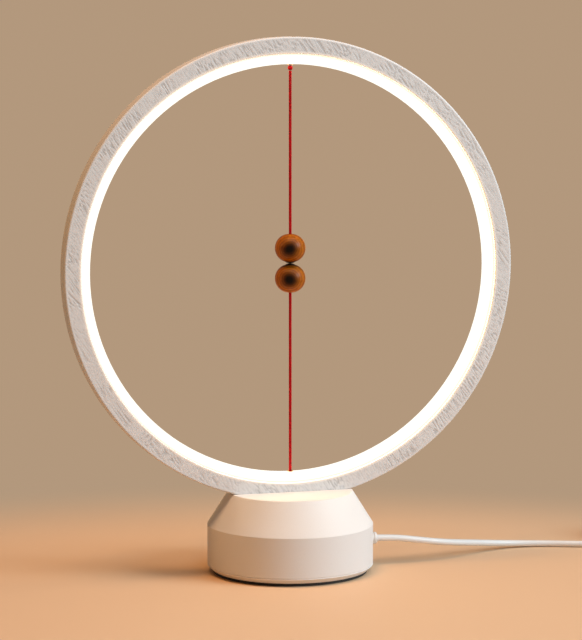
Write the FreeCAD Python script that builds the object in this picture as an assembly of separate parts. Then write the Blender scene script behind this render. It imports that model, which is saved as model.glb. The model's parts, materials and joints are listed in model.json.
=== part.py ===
import FreeCAD, Part
import math
import os

V = FreeCAD.Vector

# A table lamp made of a lit ring on a round base. Two wooden balls hang on cords inside the ring. Each holds
# a magnet, and when they meet at the middle the lower cord pulls a sprung lever that lets the switch close.
# Millimetres. The origin is on the table under the middle of the base, +Z is up and the front looks to -Y.

# ---- base ----
base_radius = 40.0
base_top_radius = 30.0
base_height = 39.2
shoulder_height = 23.3
shell_wall = 2.4
edge_round = 0.6
plate_bottom = 1.4
plate_thickness = 3.0
plate_rim_top = 4.0
plate_bevel = 2.3
parting_bevel = 0.35
spigot_height = 3.0
spigot_wall = 1.0
foot_edge_gap = 0.5
foot_width = 7.2
foot_recess = 0.8
post_radius = 2.8
post_inset = 6.8
post_count = 3
post_first_angle = 90.0
weight_side_gap = 2.4

# ---- screws ----
post_screw_radius = 1.2
post_screw_head = 2.3
post_screw_head_height = 1.1
post_screw_depth = 9.0
weight_screw_count = 3
weight_screw_angle = 30.0
weight_screw_inset = 8.0
weight_screw_radius = 1.4
weight_screw_head = 2.7
weight_screw_head_height = 1.3
weight_screw_depth = 5.5
small_screw_radius = 1.0
small_screw_head = 1.9
small_screw_head_height = 0.9
small_screw_bite = 5.0
screw_end_gap = 1.0

# ---- ring ----
ring_outer_radius = 110.5
ring_face_width = 8.0
ring_depth = 10.0
ring_sink = 3.7
ring_wall = 2.0
ring_side_wall = 1.4
ring_lip_width = 1.0
ring_lip_height = 0.6
ring_edge_round = 0.8
cover_spigot_wall = 1.0
cover_spigot_height = 1.4
diffuser_bulge = 4.9
diffuser_wall = 1.0
diffuser_tip_half_width = 1.5
diffuser_shoulder_drop = 0.8
diffuser_shoulder_narrowing = 0.55
strip_width = 4.0
strip_thickness = 0.3
chip_length = 2.8
chip_width = 3.5
chip_height = 0.8
chip_count = 54
strip_gap_angle = 24.0
ring_boss_radius = 2.2
ring_boss_reach = 3.4
ring_boss_offset = 12.5
eyelet_radius = 1.15
eyelet_seat = 0.02
eyelet_stand_out = 0.4
eyelet_collar_radius = 1.45
eyelet_collar_height = 0.25
grommet_bore = 0.9

# ---- balls, magnets and cords ----
ball_width = 14.6
ball_height = 13.5
ball_gap = 1.0
meeting_height = 3.0
cord_diameter = 1.4
magnet_radius = 2.2
magnet_thickness = 3.0
magnet_stand_out = 0.35
crimp_radius = 1.7
crimp_length = 2.6
ball_bore_radius = 2.25
knot_radius = 1.2
pull_travel = 3.0
pull_bead_radius = 2.0
pull_bead_gap = 0.5

# ---- switch lever ----
lever_arm = 16.0
lever_tail = 12.0
lever_width = 6.0
lever_thickness = 1.5
lever_headroom = 5.0
lever_hole_radius = 1.3
lever_barrel_radius = 2.4
pin_radius = 1.0
pin_head_radius = 1.8
pin_head_height = 0.8
cheek_thickness = 1.5
cheek_half_length = 3.6
cheek_rise = 3.0
frame_floor = 1.6
frame_screw_inset = 2.1
frame_screw_y = 6.9
frame_half_width = 9.2
frame_left_inset = 3.5
spring_arm = 8.0
spring_radius = 1.7
spring_wire = 0.5
spring_turns = 7
spring_stud_height = 1.6
microswitch_length = 12.8
microswitch_width = 5.8
microswitch_height = 6.5
microswitch_left = 2.6
microswitch_screw_inset = 2.0
terminal_length = 2.0
terminal_width = 0.7
terminal_thickness = 0.4
terminal_pitch = 1.1
terminal_rise = 3.2
plunger_arm = 24.0
plunger_radius = 0.9
plunger_travel = 0.5
plunger_stand_out = 1.2

# ---- fixing the ring to the base ----
saddle_inset = 6.0
saddle_half_width = 8.5
saddle_ear_half_width = 15.5
saddle_ear_thickness = 2.0
ceiling_boss_radius = 2.6
ceiling_boss_drop = 3.4
ear_screw_end_inset = 4.0
ear_screw_side_inset = 3.2
wire_hole_x = 17.0
wire_hole_radius = 1.6
tail_hole_radius = 1.6

# ---- circuit board ----
board_length = 26.0
board_width = 12.0
board_thickness = 1.6
board_front = 12.0
standoff_height = 4.0
standoff_radius = 1.9
board_screw_x = 10.5
socket_places = (-10.0, 4.4, 9.4)
socket_length = 3.8
socket_width = 3.0
socket_height = 2.6
capacitor_radius = 1.9
capacitor_height = 4.2
wire_diameter = 0.8
wire_spread = 0.55
wire_bend = 1.6
wire_lift = 1.0
wire_loop_half_width = 14.0

# ---- lead ----
lead_diameter = 3.2
lead_rise = 2.2
boot_flange_radius = 2.75
boot_stand_out = 2.2
boot_neck_radius = 2.45
boot_inner_radius = 3.6
boot_inner_thickness = 1.5
lead_clamp_inset = 3.4
lead_clamp_length = 5.0
lead_clamp_half_width = 6.6
lead_clamp_cap = 1.6
lead_stub = 1.0
coil_layers = 4
coil_columns = 3
coil_diameter = 33.6
tie_thickness = 0.4
tie_width = 6.0
plug_width = 15.4
plug_height = 7.6
plug_length = 23.0
plug_relief_length = 7.0
plug_shell_width = 12.0
plug_shell_height = 4.5
plug_shell_length = 12.0
plug_shell_wall = 0.35
plug_shell_bury = 4.0
plug_tongue_thickness = 1.8
plug_shell_round = 0.6
plug_shell_inner_round = 0.3
plug_edge_round = 1.8

# ---- fits ----
seat_gap = 0.05
slide_gap = 0.15
running_gap = 0.05
rest_gap = 0.3

# ---- worked out from the sizes above ----
ring_centre = base_height - ring_sink + ring_outer_radius
ring_half = ring_depth / 2
face_inner_radius = ring_outer_radius - ring_face_width
channel_radius = ring_outer_radius - ring_wall
cavity_half = ring_half - ring_side_wall
diffuser_inner_radius = face_inner_radius - diffuser_bulge
ceiling = base_height - shell_wall
plate_top = plate_bottom + plate_thickness
foot_outer_radius = base_radius - plate_bevel - foot_edge_gap
foot_inner_radius = foot_outer_radius - foot_width
weight_radius = base_radius - post_inset - post_radius - weight_side_gap
ear_top = ceiling - ceiling_boss_drop
saddle_bottom = ear_top - saddle_ear_thickness
saddle_half_length = base_top_radius - saddle_inset
ring_boss_top = ring_centre - channel_radius + ring_boss_reach
cheek_inside = lever_width / 2 + rest_gap
cheek_outside = cheek_inside + cheek_thickness
meeting = ring_centre + meeting_height
upper_ball_bottom = meeting + ball_gap / 2
lower_ball_top = meeting - ball_gap / 2
lower_ball_bottom = lower_ball_top - ball_height
eyelet_reach = eyelet_collar_height + eyelet_seat
upper_pivot = ring_centre + diffuser_inner_radius - eyelet_reach - rest_gap - knot_radius
upper_middle = upper_ball_bottom + ball_height / 2
lower_middle = lower_ball_bottom + ball_height / 2
lower_pivot = ring_centre - diffuser_inner_radius + eyelet_reach + rest_gap + pull_travel
knee = (lower_pivot + lower_ball_bottom) / 2
cord_radius = cord_diameter / 2
spring_stud_radius = spring_radius - spring_wire / 2 - seat_gap
bead_drop = math.sqrt(pull_bead_radius**2 - lever_hole_radius**2)
lever_height = saddle_bottom - lever_headroom - lever_thickness
bead_centre = lever_height - pull_bead_gap - bead_drop
pin_height = lever_height - pull_travel / 2
lever_swing = pull_travel / lever_arm
lever_seat = pin_height - plunger_arm * math.sin(lever_swing) + pull_travel / 2 * math.cos(lever_swing)
plunger_tip = lever_seat + plunger_travel - rest_gap
microswitch_top = plunger_tip - plunger_stand_out
floor_top = microswitch_top - microswitch_height
weight_top = floor_top - frame_floor
microswitch_right = microswitch_left + microswitch_length
microswitch_half = microswitch_width / 2
terminal_end = microswitch_right + terminal_length
terminal_bottom = floor_top + terminal_rise
board_bottom = weight_top + standoff_height
board_top = board_bottom + board_thickness
socket_y = board_front + 2.1
socket_top = board_top + socket_height
lead_radius = lead_diameter / 2
lead_height = weight_top + lead_rise
lead_clamp_x = weight_radius - lead_clamp_inset
lead_inner_end = lead_clamp_x - lead_clamp_length / 2 - lead_stub
frame_left = frame_left_inset - weight_radius
frame_right = lead_inner_end - rest_gap
coil_radius = coil_diameter / 2
coil_half_width = coil_columns * lead_diameter / 2
coil_outer_turn = coil_radius + coil_half_width - lead_radius
coil_height = coil_layers * lead_diameter
coil_inside = coil_radius - coil_half_width
coil_outside = coil_radius + coil_half_width
plug_middle = plug_height / 2
boot_end = base_radius + boot_stand_out

# The lead leaves the right side of the base, comes down to the table behind it and runs to the coil.
coil_x = 200.0
coil_entry_y = 4.0
coil_entry_z = tie_thickness + lead_radius
coil_exit_z = tie_thickness + coil_height - lead_radius
coil_y = coil_entry_y + coil_outer_turn
lead_route = [
    (boot_end, 0.0, lead_height),
    (51.5, 0.0, 13.2),
    (61.5, 0.3, 11.8),
    (72.0, 1.8, 9.9),
    (82.0, 4.6, 8.2),
    (92.0, 9.0, 6.6),
    (102.0, 14.0, 5.0),
    (112.5, 18.2, 3.4),
    (124.5, 20.8, 2.1),
    (138.0, 19.2, lead_radius),
    (153.0, 13.6, lead_radius),
    (168.5, 7.6, lead_radius),
    (184.5, 4.4, 1.8),
    (coil_x, coil_entry_y, coil_entry_z),
]
plug_x = 230.5
plug_back_y = 41.6
plug_route = [
    (coil_x, coil_entry_y, coil_exit_z),
    (209.5, 4.4, 11.3),
    (218.5, 7.7, 9.9),
    (225.5, 14.5, 7.9),
    (229.4, 23.4, 5.6),
    (plug_x, 32.6, 4.2),
    (plug_x, plug_back_y, plug_middle),
]


# ---- helpers ----
def box(x0, x1, y0, y1, z0, z1):
    return Part.makeBox(x1 - x0, y1 - y0, z1 - z0, V(x0, y0, z0))


def rod(radius, start, end):
    """A round rod from one point to another."""
    start = V(*start)
    along = V(*end) - start
    return Part.makeCylinder(radius, along.Length, start, along)


def post(radius, x, y, z0, z1):
    return rod(radius, (x, y, z0), (x, y, z1))


def rounded_wire(corners):
    """A closed outline through corners of (point, radius), each corner with an arc of its radius."""
    edges = []
    arcs = []
    for i, (corner, radius) in enumerate(corners):
        before = (corners[i - 1][0] - corner).normalize()
        after = (corners[(i + 1) % len(corners)][0] - corner).normalize()
        if radius == 0:
            arcs.append((corner, corner, corner))
            continue
        half = before.getAngle(after) / 2
        reach = radius / math.tan(half)
        inwards = (before + after).normalize()
        middle = corner + inwards * (radius / math.sin(half) - radius)
        arcs.append((corner + before * reach, middle, corner + after * reach))
    for i, (start, middle, end) in enumerate(arcs):
        if start != end:
            edges.append(Part.Arc(start, middle, end).toShape())
        following = arcs[(i + 1) % len(arcs)][0]
        if end.distanceToPoint(following) > 1e-6:
            edges.append(Part.LineSegment(end, following).toShape())
    return Part.Wire(edges)


def turned(corners, x=0.0, y=0.0):
    """A solid turned about an upright axis, from an outline of (radius, height, corner radius)."""
    outline = rounded_wire([(V(r, 0, z), rounding) for r, z, rounding in corners])
    solid = Part.Face(outline).revolve(V(0, 0, 0), V(0, 0, 1), 360)
    solid.translate(V(x, y, 0))
    return solid


def hoop(corners, first=0.0, sweep=360.0):
    """A solid turned about the ring's axis, from an outline of (radius, depth, corner radius).

    Angles run from straight up, clockwise from the front."""
    outline = rounded_wire([(V(0, y, ring_centre + r), rounding) for r, y, rounding in corners])
    outline.rotate(V(0, 0, ring_centre), V(0, 1, 0), first)
    return Part.Face(outline).revolve(V(0, 0, ring_centre), V(0, 1, 0), sweep)


def hoop_cylinder(radius, half_depth):
    """A disc on the ring's axis, for cutting a seat that follows the ring."""
    return rod(radius, (0, -half_depth, ring_centre), (0, half_depth, ring_centre))


def fused(first, *others):
    return first.multiFuse(list(others)).removeSplitter()


def screw(radius, head_radius, head_height, seat, tip):
    """A pan-head screw: its head stands on seat, its shank ends at tip."""
    seat = V(*seat)
    along = (V(*tip) - seat).normalize()
    head = Part.makeCylinder(head_radius, head_height, seat, along * -1)
    top = seat - along * head_height
    side = along.cross(V(0, 0, 1)) if abs(along.z) < 0.5 else V(1, 0, 0)
    slot_depth = head_height / 2
    slot_width = head_radius / 3
    slot = Part.makeBox(3 * head_radius, slot_width, 2 * slot_depth)
    slot.translate(V(-1.5 * head_radius, -slot_width / 2, -slot_depth))
    turn = FreeCAD.Rotation(side, V(0, 0, 0), along)
    slot.Placement = FreeCAD.Placement(top, turn).multiply(slot.Placement)
    shank = Part.makeCylinder(radius, (V(*tip) - seat).Length, seat, along)
    return head.fuse(shank).removeSplitter().cut(slot)


def around(count, first_angle, radius):
    """Points spread evenly on a circle about the base's axis."""
    angles = [math.radians(first_angle + 360.0 * k / count) for k in range(count)]
    return [(radius * math.cos(angle), radius * math.sin(angle)) for angle in angles]


def cord_path(points):
    """Straight runs joined by arcs that meet them smoothly. Each arc takes 0.45 of its shorter run."""
    corners = [V(*p) for p in points]
    edges = []
    radii = []
    end = corners[0]
    for before, corner, after in zip(corners, corners[1:], corners[2:]):
        back = before - corner
        onward = after - corner
        reach = 0.45 * min(back.Length, onward.Length)
        half = back.getAngle(onward) / 2
        radius = reach * math.tan(half)
        radii.append(radius)
        back.normalize()
        onward.normalize()
        middle = corner + (back + onward).normalize() * (radius / math.sin(half) - radius)
        start = corner + back * reach
        edges.append(Part.LineSegment(end, start).toShape())
        end = corner + onward * reach
        edges.append(Part.Arc(start, middle, end).toShape())
    edges.append(Part.LineSegment(end, corners[-1]).toShape())
    return Part.Wire(edges), radii


def cord_tube(points, diameter, label=None):
    """A round cord along the path. It prints its length, its tightest bends and how its volume compares."""
    path, radii = cord_path(points)
    start = V(*points[0])
    circle = Part.Wire([Part.makeCircle(diameter / 2, start, V(*points[1]) - start)])
    solid = path.makePipeShell([circle], True, False)
    if label:
        expected = math.pi * diameter**2 / 4 * path.Length
        print(label, "length", round(path.Length, 1), "radii", [round(r, 1) for r in radii])
        print(label, "volume over section times length", round(solid.Volume / expected, 4))
    return solid


def bored_ball(width, height, middle, low_bore, high_bore, step):
    """A ball turned about the upright axis. Its bore has one radius below step and another above it.

    The outline is an arc of a circle that stands a little off the axis, which makes the ball wider than high.
    """
    half_width = width / 2
    half_height = height / 2
    arc_centre = (half_width**2 - half_height**2) / (2 * half_width)
    arc_radius = half_width - arc_centre

    def surface_height(radius):
        return math.sqrt(arc_radius**2 - (radius - arc_centre) ** 2)

    low_edge = V(low_bore, -surface_height(low_bore), 0)
    high_edge = V(high_bore, surface_height(high_bore), 0)
    edges = [Part.Arc(low_edge, V(half_width, 0, 0), high_edge).toShape()]
    inside = [high_edge, V(high_bore, step, 0), V(low_bore, step, 0), low_edge]
    for start, end in zip(inside, inside[1:]):
        if start.distanceToPoint(end) > 1e-6:
            edges.append(Part.LineSegment(start, end).toShape())
    outline = Part.Wire(edges)
    outline.rotate(V(0, 0, 0), V(1, 0, 0), 90)
    solid = Part.Face(outline).revolve(V(0, 0, 0), V(0, 0, 1), 360)
    solid.translate(V(0, 0, middle))
    return solid


# ---- base ----
def base_shell():
    slope_run = base_radius - base_top_radius
    slope_rise = base_height - shoulder_height
    inner_radius = base_radius - shell_wall
    slope_wall = shell_wall * math.hypot(slope_rise, slope_run) / slope_rise
    inner_shoulder = shoulder_height - (slope_wall - shell_wall) * slope_rise / slope_run
    inner_top_radius = base_top_radius - slope_wall + shell_wall * slope_run / slope_rise
    outside = turned(
        [
            (0, plate_rim_top, 0),
            (base_radius - parting_bevel, plate_rim_top, 0),
            (base_radius, plate_rim_top + parting_bevel, 0),
            (base_radius, shoulder_height, edge_round),
            (base_top_radius, base_height, edge_round),
            (0, base_height, 0),
        ]
    )
    inside = turned(
        [
            (0, plate_rim_top - 1, 0),
            (inner_radius, plate_rim_top - 1, 0),
            (inner_radius, inner_shoulder, 0),
            (inner_top_radius, ceiling, 0),
            (0, ceiling, 0),
        ]
    )
    posts = [post(post_radius, x, y, plate_top, ceiling).common(outside) for x, y in post_places()]
    bosses = [post(ceiling_boss_radius, x, y, ear_top, ceiling) for x, y in ear_screw_places()]
    shell = fused(outside.cut(inside), *posts, *bosses)
    for x, y in post_places():
        depth = plate_top + post_screw_depth
        shell = shell.cut(post(post_screw_radius + running_gap, x, y, plate_top, depth))
    for x, y in ear_screw_places():
        shell = shell.cut(post(small_screw_radius + running_gap, x, y, ear_top, ceiling + 1))
    shell = shell.cut(hoop_cylinder(ring_outer_radius + seat_gap, ring_half + seat_gap))
    shell = shell.cut(post(wire_hole_radius, wire_hole_x, 0, ceiling - 1, base_height))
    lead_hole_start = (inner_radius - 2, 0, lead_height)
    return shell.cut(rod(boot_neck_radius + seat_gap, lead_hole_start, (base_radius + 1, 0, lead_height)))


def post_places():
    return around(post_count, post_first_angle, base_radius - post_inset)


def weight_screw_places():
    return around(weight_screw_count, weight_screw_angle, weight_radius - weight_screw_inset)


def base_plate():
    spigot_outer = base_radius - shell_wall - slide_gap
    plate = turned(
        [
            (0, plate_bottom, 0),
            (base_radius - plate_bevel, plate_bottom, edge_round),
            (base_radius, plate_rim_top - parting_bevel, 0),
            (base_radius - parting_bevel, plate_rim_top, 0),
            (spigot_outer, plate_rim_top, 0),
            (spigot_outer, plate_top + spigot_height, 0),
            (spigot_outer - spigot_wall, plate_top + spigot_height, 0),
            (spigot_outer - spigot_wall, plate_top, 0),
            (0, plate_top, 0),
        ]
    )
    foot_seat = turned(
        [
            (foot_inner_radius - seat_gap, plate_bottom - 1, 0),
            (foot_outer_radius + seat_gap, plate_bottom - 1, 0),
            (foot_outer_radius + seat_gap, plate_bottom + foot_recess, 0),
            (foot_inner_radius - seat_gap, plate_bottom + foot_recess, 0),
        ]
    )
    plate = plate.cut(foot_seat)
    for x, y in post_places():
        seat = plate_bottom + foot_recess + post_screw_head_height
        plate = plate.cut(post(post_screw_radius + slide_gap, x, y, 0, plate_top + 1))
        plate = plate.cut(post(post_screw_head + slide_gap, x, y, 0, seat))
    for x, y in weight_screw_places():
        seat = plate_bottom + weight_screw_head_height
        plate = plate.cut(post(weight_screw_radius + slide_gap, x, y, 0, plate_top + 1))
        plate = plate.cut(post(weight_screw_head + slide_gap, x, y, 0, seat))
    return plate


def foot_ring():
    top = plate_bottom + foot_recess
    return turned(
        [
            (foot_inner_radius, 0, 0),
            (foot_outer_radius, 0, 0.3),
            (foot_outer_radius, top, 0),
            (foot_inner_radius, top, 0),
        ]
    )


def plate_screws():
    seat = plate_bottom + foot_recess + post_screw_head_height
    tip = plate_top + post_screw_depth - screw_end_gap
    screws = []
    for x, y in post_places():
        size = (post_screw_radius, post_screw_head, post_screw_head_height)
        screws.append(screw(*size, (x, y, seat), (x, y, tip)))
    return Part.makeCompound(screws)


def counterweight():
    weight = turned(
        [
            (0, plate_top, 0),
            (weight_radius, plate_top, 0.8),
            (weight_radius, weight_top, 0.8),
            (0, weight_top, 0),
        ]
    )
    for x, y in weight_screw_places():
        depth = plate_top + weight_screw_depth
        weight = weight.cut(post(weight_screw_radius + running_gap, x, y, plate_top, depth))
    for x, y in frame_screw_places() + board_screw_places() + clamp_screw_places():
        depth = weight_top - small_screw_bite
        weight = weight.cut(post(small_screw_radius + running_gap, x, y, depth, weight_top))
    return weight


def weight_screws():
    seat = plate_bottom + weight_screw_head_height
    tip = plate_top + weight_screw_depth - screw_end_gap
    screws = []
    for x, y in weight_screw_places():
        size = (weight_screw_radius, weight_screw_head, weight_screw_head_height)
        screws.append(screw(*size, (x, y, seat), (x, y, tip)))
    return Part.makeCompound(screws)


# ---- fixing the ring ----
def ear_screw_places():
    x = saddle_half_length - ear_screw_end_inset
    y = saddle_ear_half_width - ear_screw_side_inset
    return [(-x, -y), (-x, y), (x, -y), (x, y)]


def ring_saddle():
    half = saddle_half_length
    ears = box(-half, half, -saddle_ear_half_width, saddle_ear_half_width, saddle_bottom, ear_top)
    ears = ears.makeFillet(2.0, [e for e in ears.Edges if e.BoundBox.ZLength > saddle_ear_thickness / 2])
    block = box(-half + 2, half - 2, -saddle_half_width, saddle_half_width, saddle_bottom, ceiling)
    saddle = fused(ears, block)
    saddle = saddle.cut(hoop_cylinder(ring_outer_radius + seat_gap, ring_half + seat_gap))
    for x, y in ear_screw_places():
        saddle = saddle.cut(post(small_screw_radius + slide_gap, x, y, saddle_bottom, ear_top + 1))
        saddle = saddle.cut(post(ceiling_boss_radius + slide_gap, x, y, ear_top, ceiling))
    for x in (-ring_boss_offset, ring_boss_offset):
        saddle = saddle.cut(post(small_screw_radius + slide_gap, x, 0, saddle_bottom - 1, ceiling))
    saddle = saddle.cut(post(tail_hole_radius, 0, 0, saddle_bottom - 1, ceiling))
    return saddle.cut(post(wire_hole_radius, wire_hole_x, 0, saddle_bottom - 1, ceiling))


def saddle_screws():
    size = (small_screw_radius, small_screw_head, small_screw_head_height)
    screws = [screw(*size, (x, y, saddle_bottom), (x, y, ceiling + 0.6)) for x, y in ear_screw_places()]
    return Part.makeCompound(screws)


def ring_screws():
    size = (small_screw_radius, small_screw_head, small_screw_head_height)
    tip = ring_boss_top - 0.5
    screws = [screw(*size, (x, 0, saddle_bottom), (x, 0, tip)) for x in (-ring_boss_offset, ring_boss_offset)]
    return Part.makeCompound(screws)


# ---- ring ----
def ring_rear_shell():
    lip_radius = face_inner_radius + ring_lip_width
    back = ring_half
    shell = hoop(
        [
            (ring_outer_radius, -cavity_half, 0),
            (ring_outer_radius, back, ring_edge_round),
            (face_inner_radius, back, 0.3),
            (face_inner_radius, cavity_half - ring_lip_height, 0),
            (lip_radius, cavity_half - ring_lip_height, 0),
            (lip_radius, cavity_half, 0),
            (channel_radius, cavity_half, 0),
            (channel_radius, -cavity_half, 0),
        ]
    )
    bosses = []
    for x in (-ring_boss_offset, ring_boss_offset):
        boss = post(ring_boss_radius, x, 0, ring_centre - ring_outer_radius, ring_boss_top)
        bosses.append(boss.common(hoop_cylinder(ring_outer_radius - 0.5, ring_half)))
    shell = fused(shell, *bosses)
    bottom = ring_centre - ring_outer_radius - 1
    for x in (-ring_boss_offset, ring_boss_offset):
        shell = shell.cut(post(small_screw_radius + running_gap, x, 0, bottom, ring_boss_top + 1))
    reach = ring_centre - channel_radius + 3
    shell = shell.cut(post(tail_hole_radius, 0, 0, bottom, reach))
    return shell.cut(post(wire_hole_radius, wire_hole_x, 0, bottom, reach))


def ring_front_cover():
    lip_radius = face_inner_radius + ring_lip_width
    spigot_outer = channel_radius - slide_gap
    spigot_inner = spigot_outer - cover_spigot_wall
    back = -cavity_half
    cover = hoop(
        [
            (ring_outer_radius, back, 0),
            (ring_outer_radius, -ring_half, ring_edge_round),
            (face_inner_radius, -ring_half, 0.3),
            (face_inner_radius, back + ring_lip_height, 0),
            (lip_radius, back + ring_lip_height, 0),
            (lip_radius, back, 0),
            (spigot_inner, back, 0),
            (spigot_inner, back + cover_spigot_height, 0),
            (spigot_outer, back + cover_spigot_height, 0),
            (spigot_outer, back, 0),
        ]
    )
    top = ring_centre - channel_radius + ring_boss_reach
    for x in (-ring_boss_offset, ring_boss_offset):
        cover = cover.cut(post(ring_boss_radius + slide_gap, x, 0, ring_centre - ring_outer_radius - 1, top))
    return cover


def ring_diffuser():
    flange_inner = face_inner_radius + ring_lip_width + slide_gap
    flange_outer = flange_inner + diffuser_wall
    flange_half = cavity_half - slide_gap
    neck_half = cavity_half - ring_lip_height - slide_gap
    shoulder = diffuser_inner_radius + diffuser_shoulder_drop
    shoulder_half = neck_half - diffuser_shoulder_narrowing
    tip_half = diffuser_tip_half_width
    right = [
        (flange_outer, flange_half, 0),
        (flange_inner, flange_half, 0),
        (flange_inner, neck_half, 0),
        (face_inner_radius, neck_half, 0),
        (shoulder, shoulder_half, 0.5),
        (diffuser_inner_radius, tip_half, 0.5),
    ]
    hollow = [
        (diffuser_inner_radius + diffuser_wall, tip_half - 0.2, 0),
        (shoulder + 0.3, shoulder_half - diffuser_wall, 0),
        (flange_outer, neck_half - diffuser_wall, 0),
    ]
    left = [(r, -y, rounding) for r, y, rounding in reversed(right)]
    hollow_left = [(r, -y, rounding) for r, y, rounding in hollow]
    hollow_right = list(reversed(hollow))
    strip = hoop(right + left + list(reversed(hollow_left)) + list(reversed(hollow_right)))
    hole = eyelet_radius + seat_gap
    upper_hole = post(hole, 0, 0, ring_centre + shoulder - 2, ring_centre + flange_outer + 1)
    lower_hole = post(hole, 0, 0, ring_centre - flange_outer - 1, ring_centre - shoulder + 2)
    return strip.cut(upper_hole).cut(lower_hole)


def led_strip():
    outer = channel_radius - seat_gap
    first = 180 + strip_gap_angle / 2
    half = strip_width / 2
    corners = [(outer, -half, 0), (outer, half, 0), (outer - strip_thickness, half, 0)]
    corners.append((outer - strip_thickness, -half, 0))
    return hoop(corners, first, 360 - strip_gap_angle)


def led_chips():
    seat = channel_radius - seat_gap - strip_thickness
    span = 360 - strip_gap_angle
    chips = []
    for k in range(chip_count):
        angle = 180 + strip_gap_angle / 2 + span * (k + 0.5) / chip_count
        sag = seat - math.sqrt(seat**2 - (chip_length / 2) ** 2)
        top = ring_centre + seat - sag
        half = chip_width / 2
        chip = box(-chip_length / 2, chip_length / 2, -half, half, top - chip_height, top)
        chip.rotate(V(0, 0, ring_centre), V(0, 1, 0), angle)
        chips.append(chip)
    return Part.makeCompound(chips)


def eyelet(surface, outwards, bore):
    """A brass eyelet in the lit strip, where a cord goes through. Its collar lies on the strip."""
    end = surface + outwards * (diffuser_wall + eyelet_stand_out)
    seat = surface - outwards * eyelet_seat
    collar_face = surface - outwards * eyelet_reach
    tube = rod(eyelet_radius, (0, 0, seat), (0, 0, end))
    collar = rod(eyelet_collar_radius, (0, 0, seat), (0, 0, collar_face))
    return fused(tube, collar).cut(rod(bore, (0, 0, collar_face - outwards), (0, 0, end + outwards)))


def upper_eyelet():
    return eyelet(ring_centre + diffuser_inner_radius, 1, cord_radius + running_gap)


def lower_eyelet():
    return eyelet(ring_centre - diffuser_inner_radius, -1, grommet_bore)


# ---- balls ----
def ball(middle, magnet_side):
    """A wooden ball. The magnet and the crimp lie in a pocket at the pole that meets the other ball."""
    pocket = magnet_thickness - magnet_stand_out + crimp_length + seat_gap
    step = magnet_side * (ball_height / 2 - pocket)
    cord_bore = cord_radius + running_gap
    if magnet_side < 0:
        return bored_ball(ball_width, ball_height, middle, ball_bore_radius, cord_bore, step)
    return bored_ball(ball_width, ball_height, middle, cord_bore, ball_bore_radius, step)


def magnet_back(middle, magnet_side):
    return middle + magnet_side * (ball_height / 2 + magnet_stand_out - magnet_thickness)


def magnet(middle, magnet_side):
    back = magnet_back(middle, magnet_side)
    disc = rod(magnet_radius, (0, 0, back), (0, 0, back + magnet_side * magnet_thickness))
    return disc.makeChamfer(0.15, disc.Edges)


def crimp(middle, magnet_side):
    """A brass bead squeezed on the cord's end, so that the cord can't pull out of the ball."""
    start = magnet_back(middle, magnet_side)
    end = start - magnet_side * crimp_length
    shell = rod(crimp_radius, (0, 0, start), (0, 0, end))
    return shell.cut(rod(cord_radius, (0, 0, start + magnet_side), (0, 0, end - magnet_side)))


def upper_ball():
    return ball(upper_middle, -1)


def upper_magnet():
    return magnet(upper_middle, -1)


def upper_crimp():
    return crimp(upper_middle, -1)


def upper_cord():
    return post(cord_radius, 0, 0, magnet_back(upper_middle, -1), upper_pivot - knot_radius - slide_gap)


def upper_knot():
    """The knot that the upper ball swings from, just under the ring's top."""
    return Part.makeSphere(knot_radius, V(0, 0, upper_pivot))


def upper_cord_root():
    """The fixed end of the upper cord, knotted inside the lit strip."""
    surface = ring_centre + diffuser_inner_radius
    knot_middle = surface + diffuser_wall + eyelet_stand_out + knot_radius
    stem = post(cord_radius, 0, 0, surface - eyelet_reach - rest_gap / 2, knot_middle)
    return fused(Part.makeSphere(knot_radius, V(0, 0, knot_middle)), stem)


# ---- lower ball and pull cord ----
def lower_ball():
    return ball(lower_middle, 1)


def lower_magnet():
    return magnet(lower_middle, 1)


def lower_crimp():
    return crimp(lower_middle, 1)


def lower_ball_cord():
    return post(cord_radius, 0, 0, lower_ball_bottom, magnet_back(lower_middle, 1))


def lower_cord_upper_half():
    return post(cord_radius, 0, 0, knee, lower_ball_bottom)


def lower_cord_lower_half():
    return post(cord_radius, 0, 0, lower_pivot, knee)


def pull_cord_tail():
    return post(cord_radius, 0, 0, bead_centre - pull_bead_radius / 2, lower_pivot)


def pull_bead():
    """The bead on the cord's end that lifts the lever."""
    bead = Part.makeSphere(pull_bead_radius, V(0, 0, bead_centre))
    bore_bottom = bead_centre - pull_bead_radius / 2
    return bead.cut(post(cord_radius, 0, 0, bore_bottom, bead_centre + 2 * pull_bead_radius))


# ---- switch ----
def frame_screw_places():
    columns = (frame_left + frame_screw_inset, frame_right - frame_screw_inset)
    return [(x, y) for x in columns for y in (-frame_screw_y, frame_screw_y)]


def across(x, z, radius, half_length):
    """A round rod from front to back."""
    return rod(radius, (x, -half_length, z), (x, half_length, z))


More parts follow.
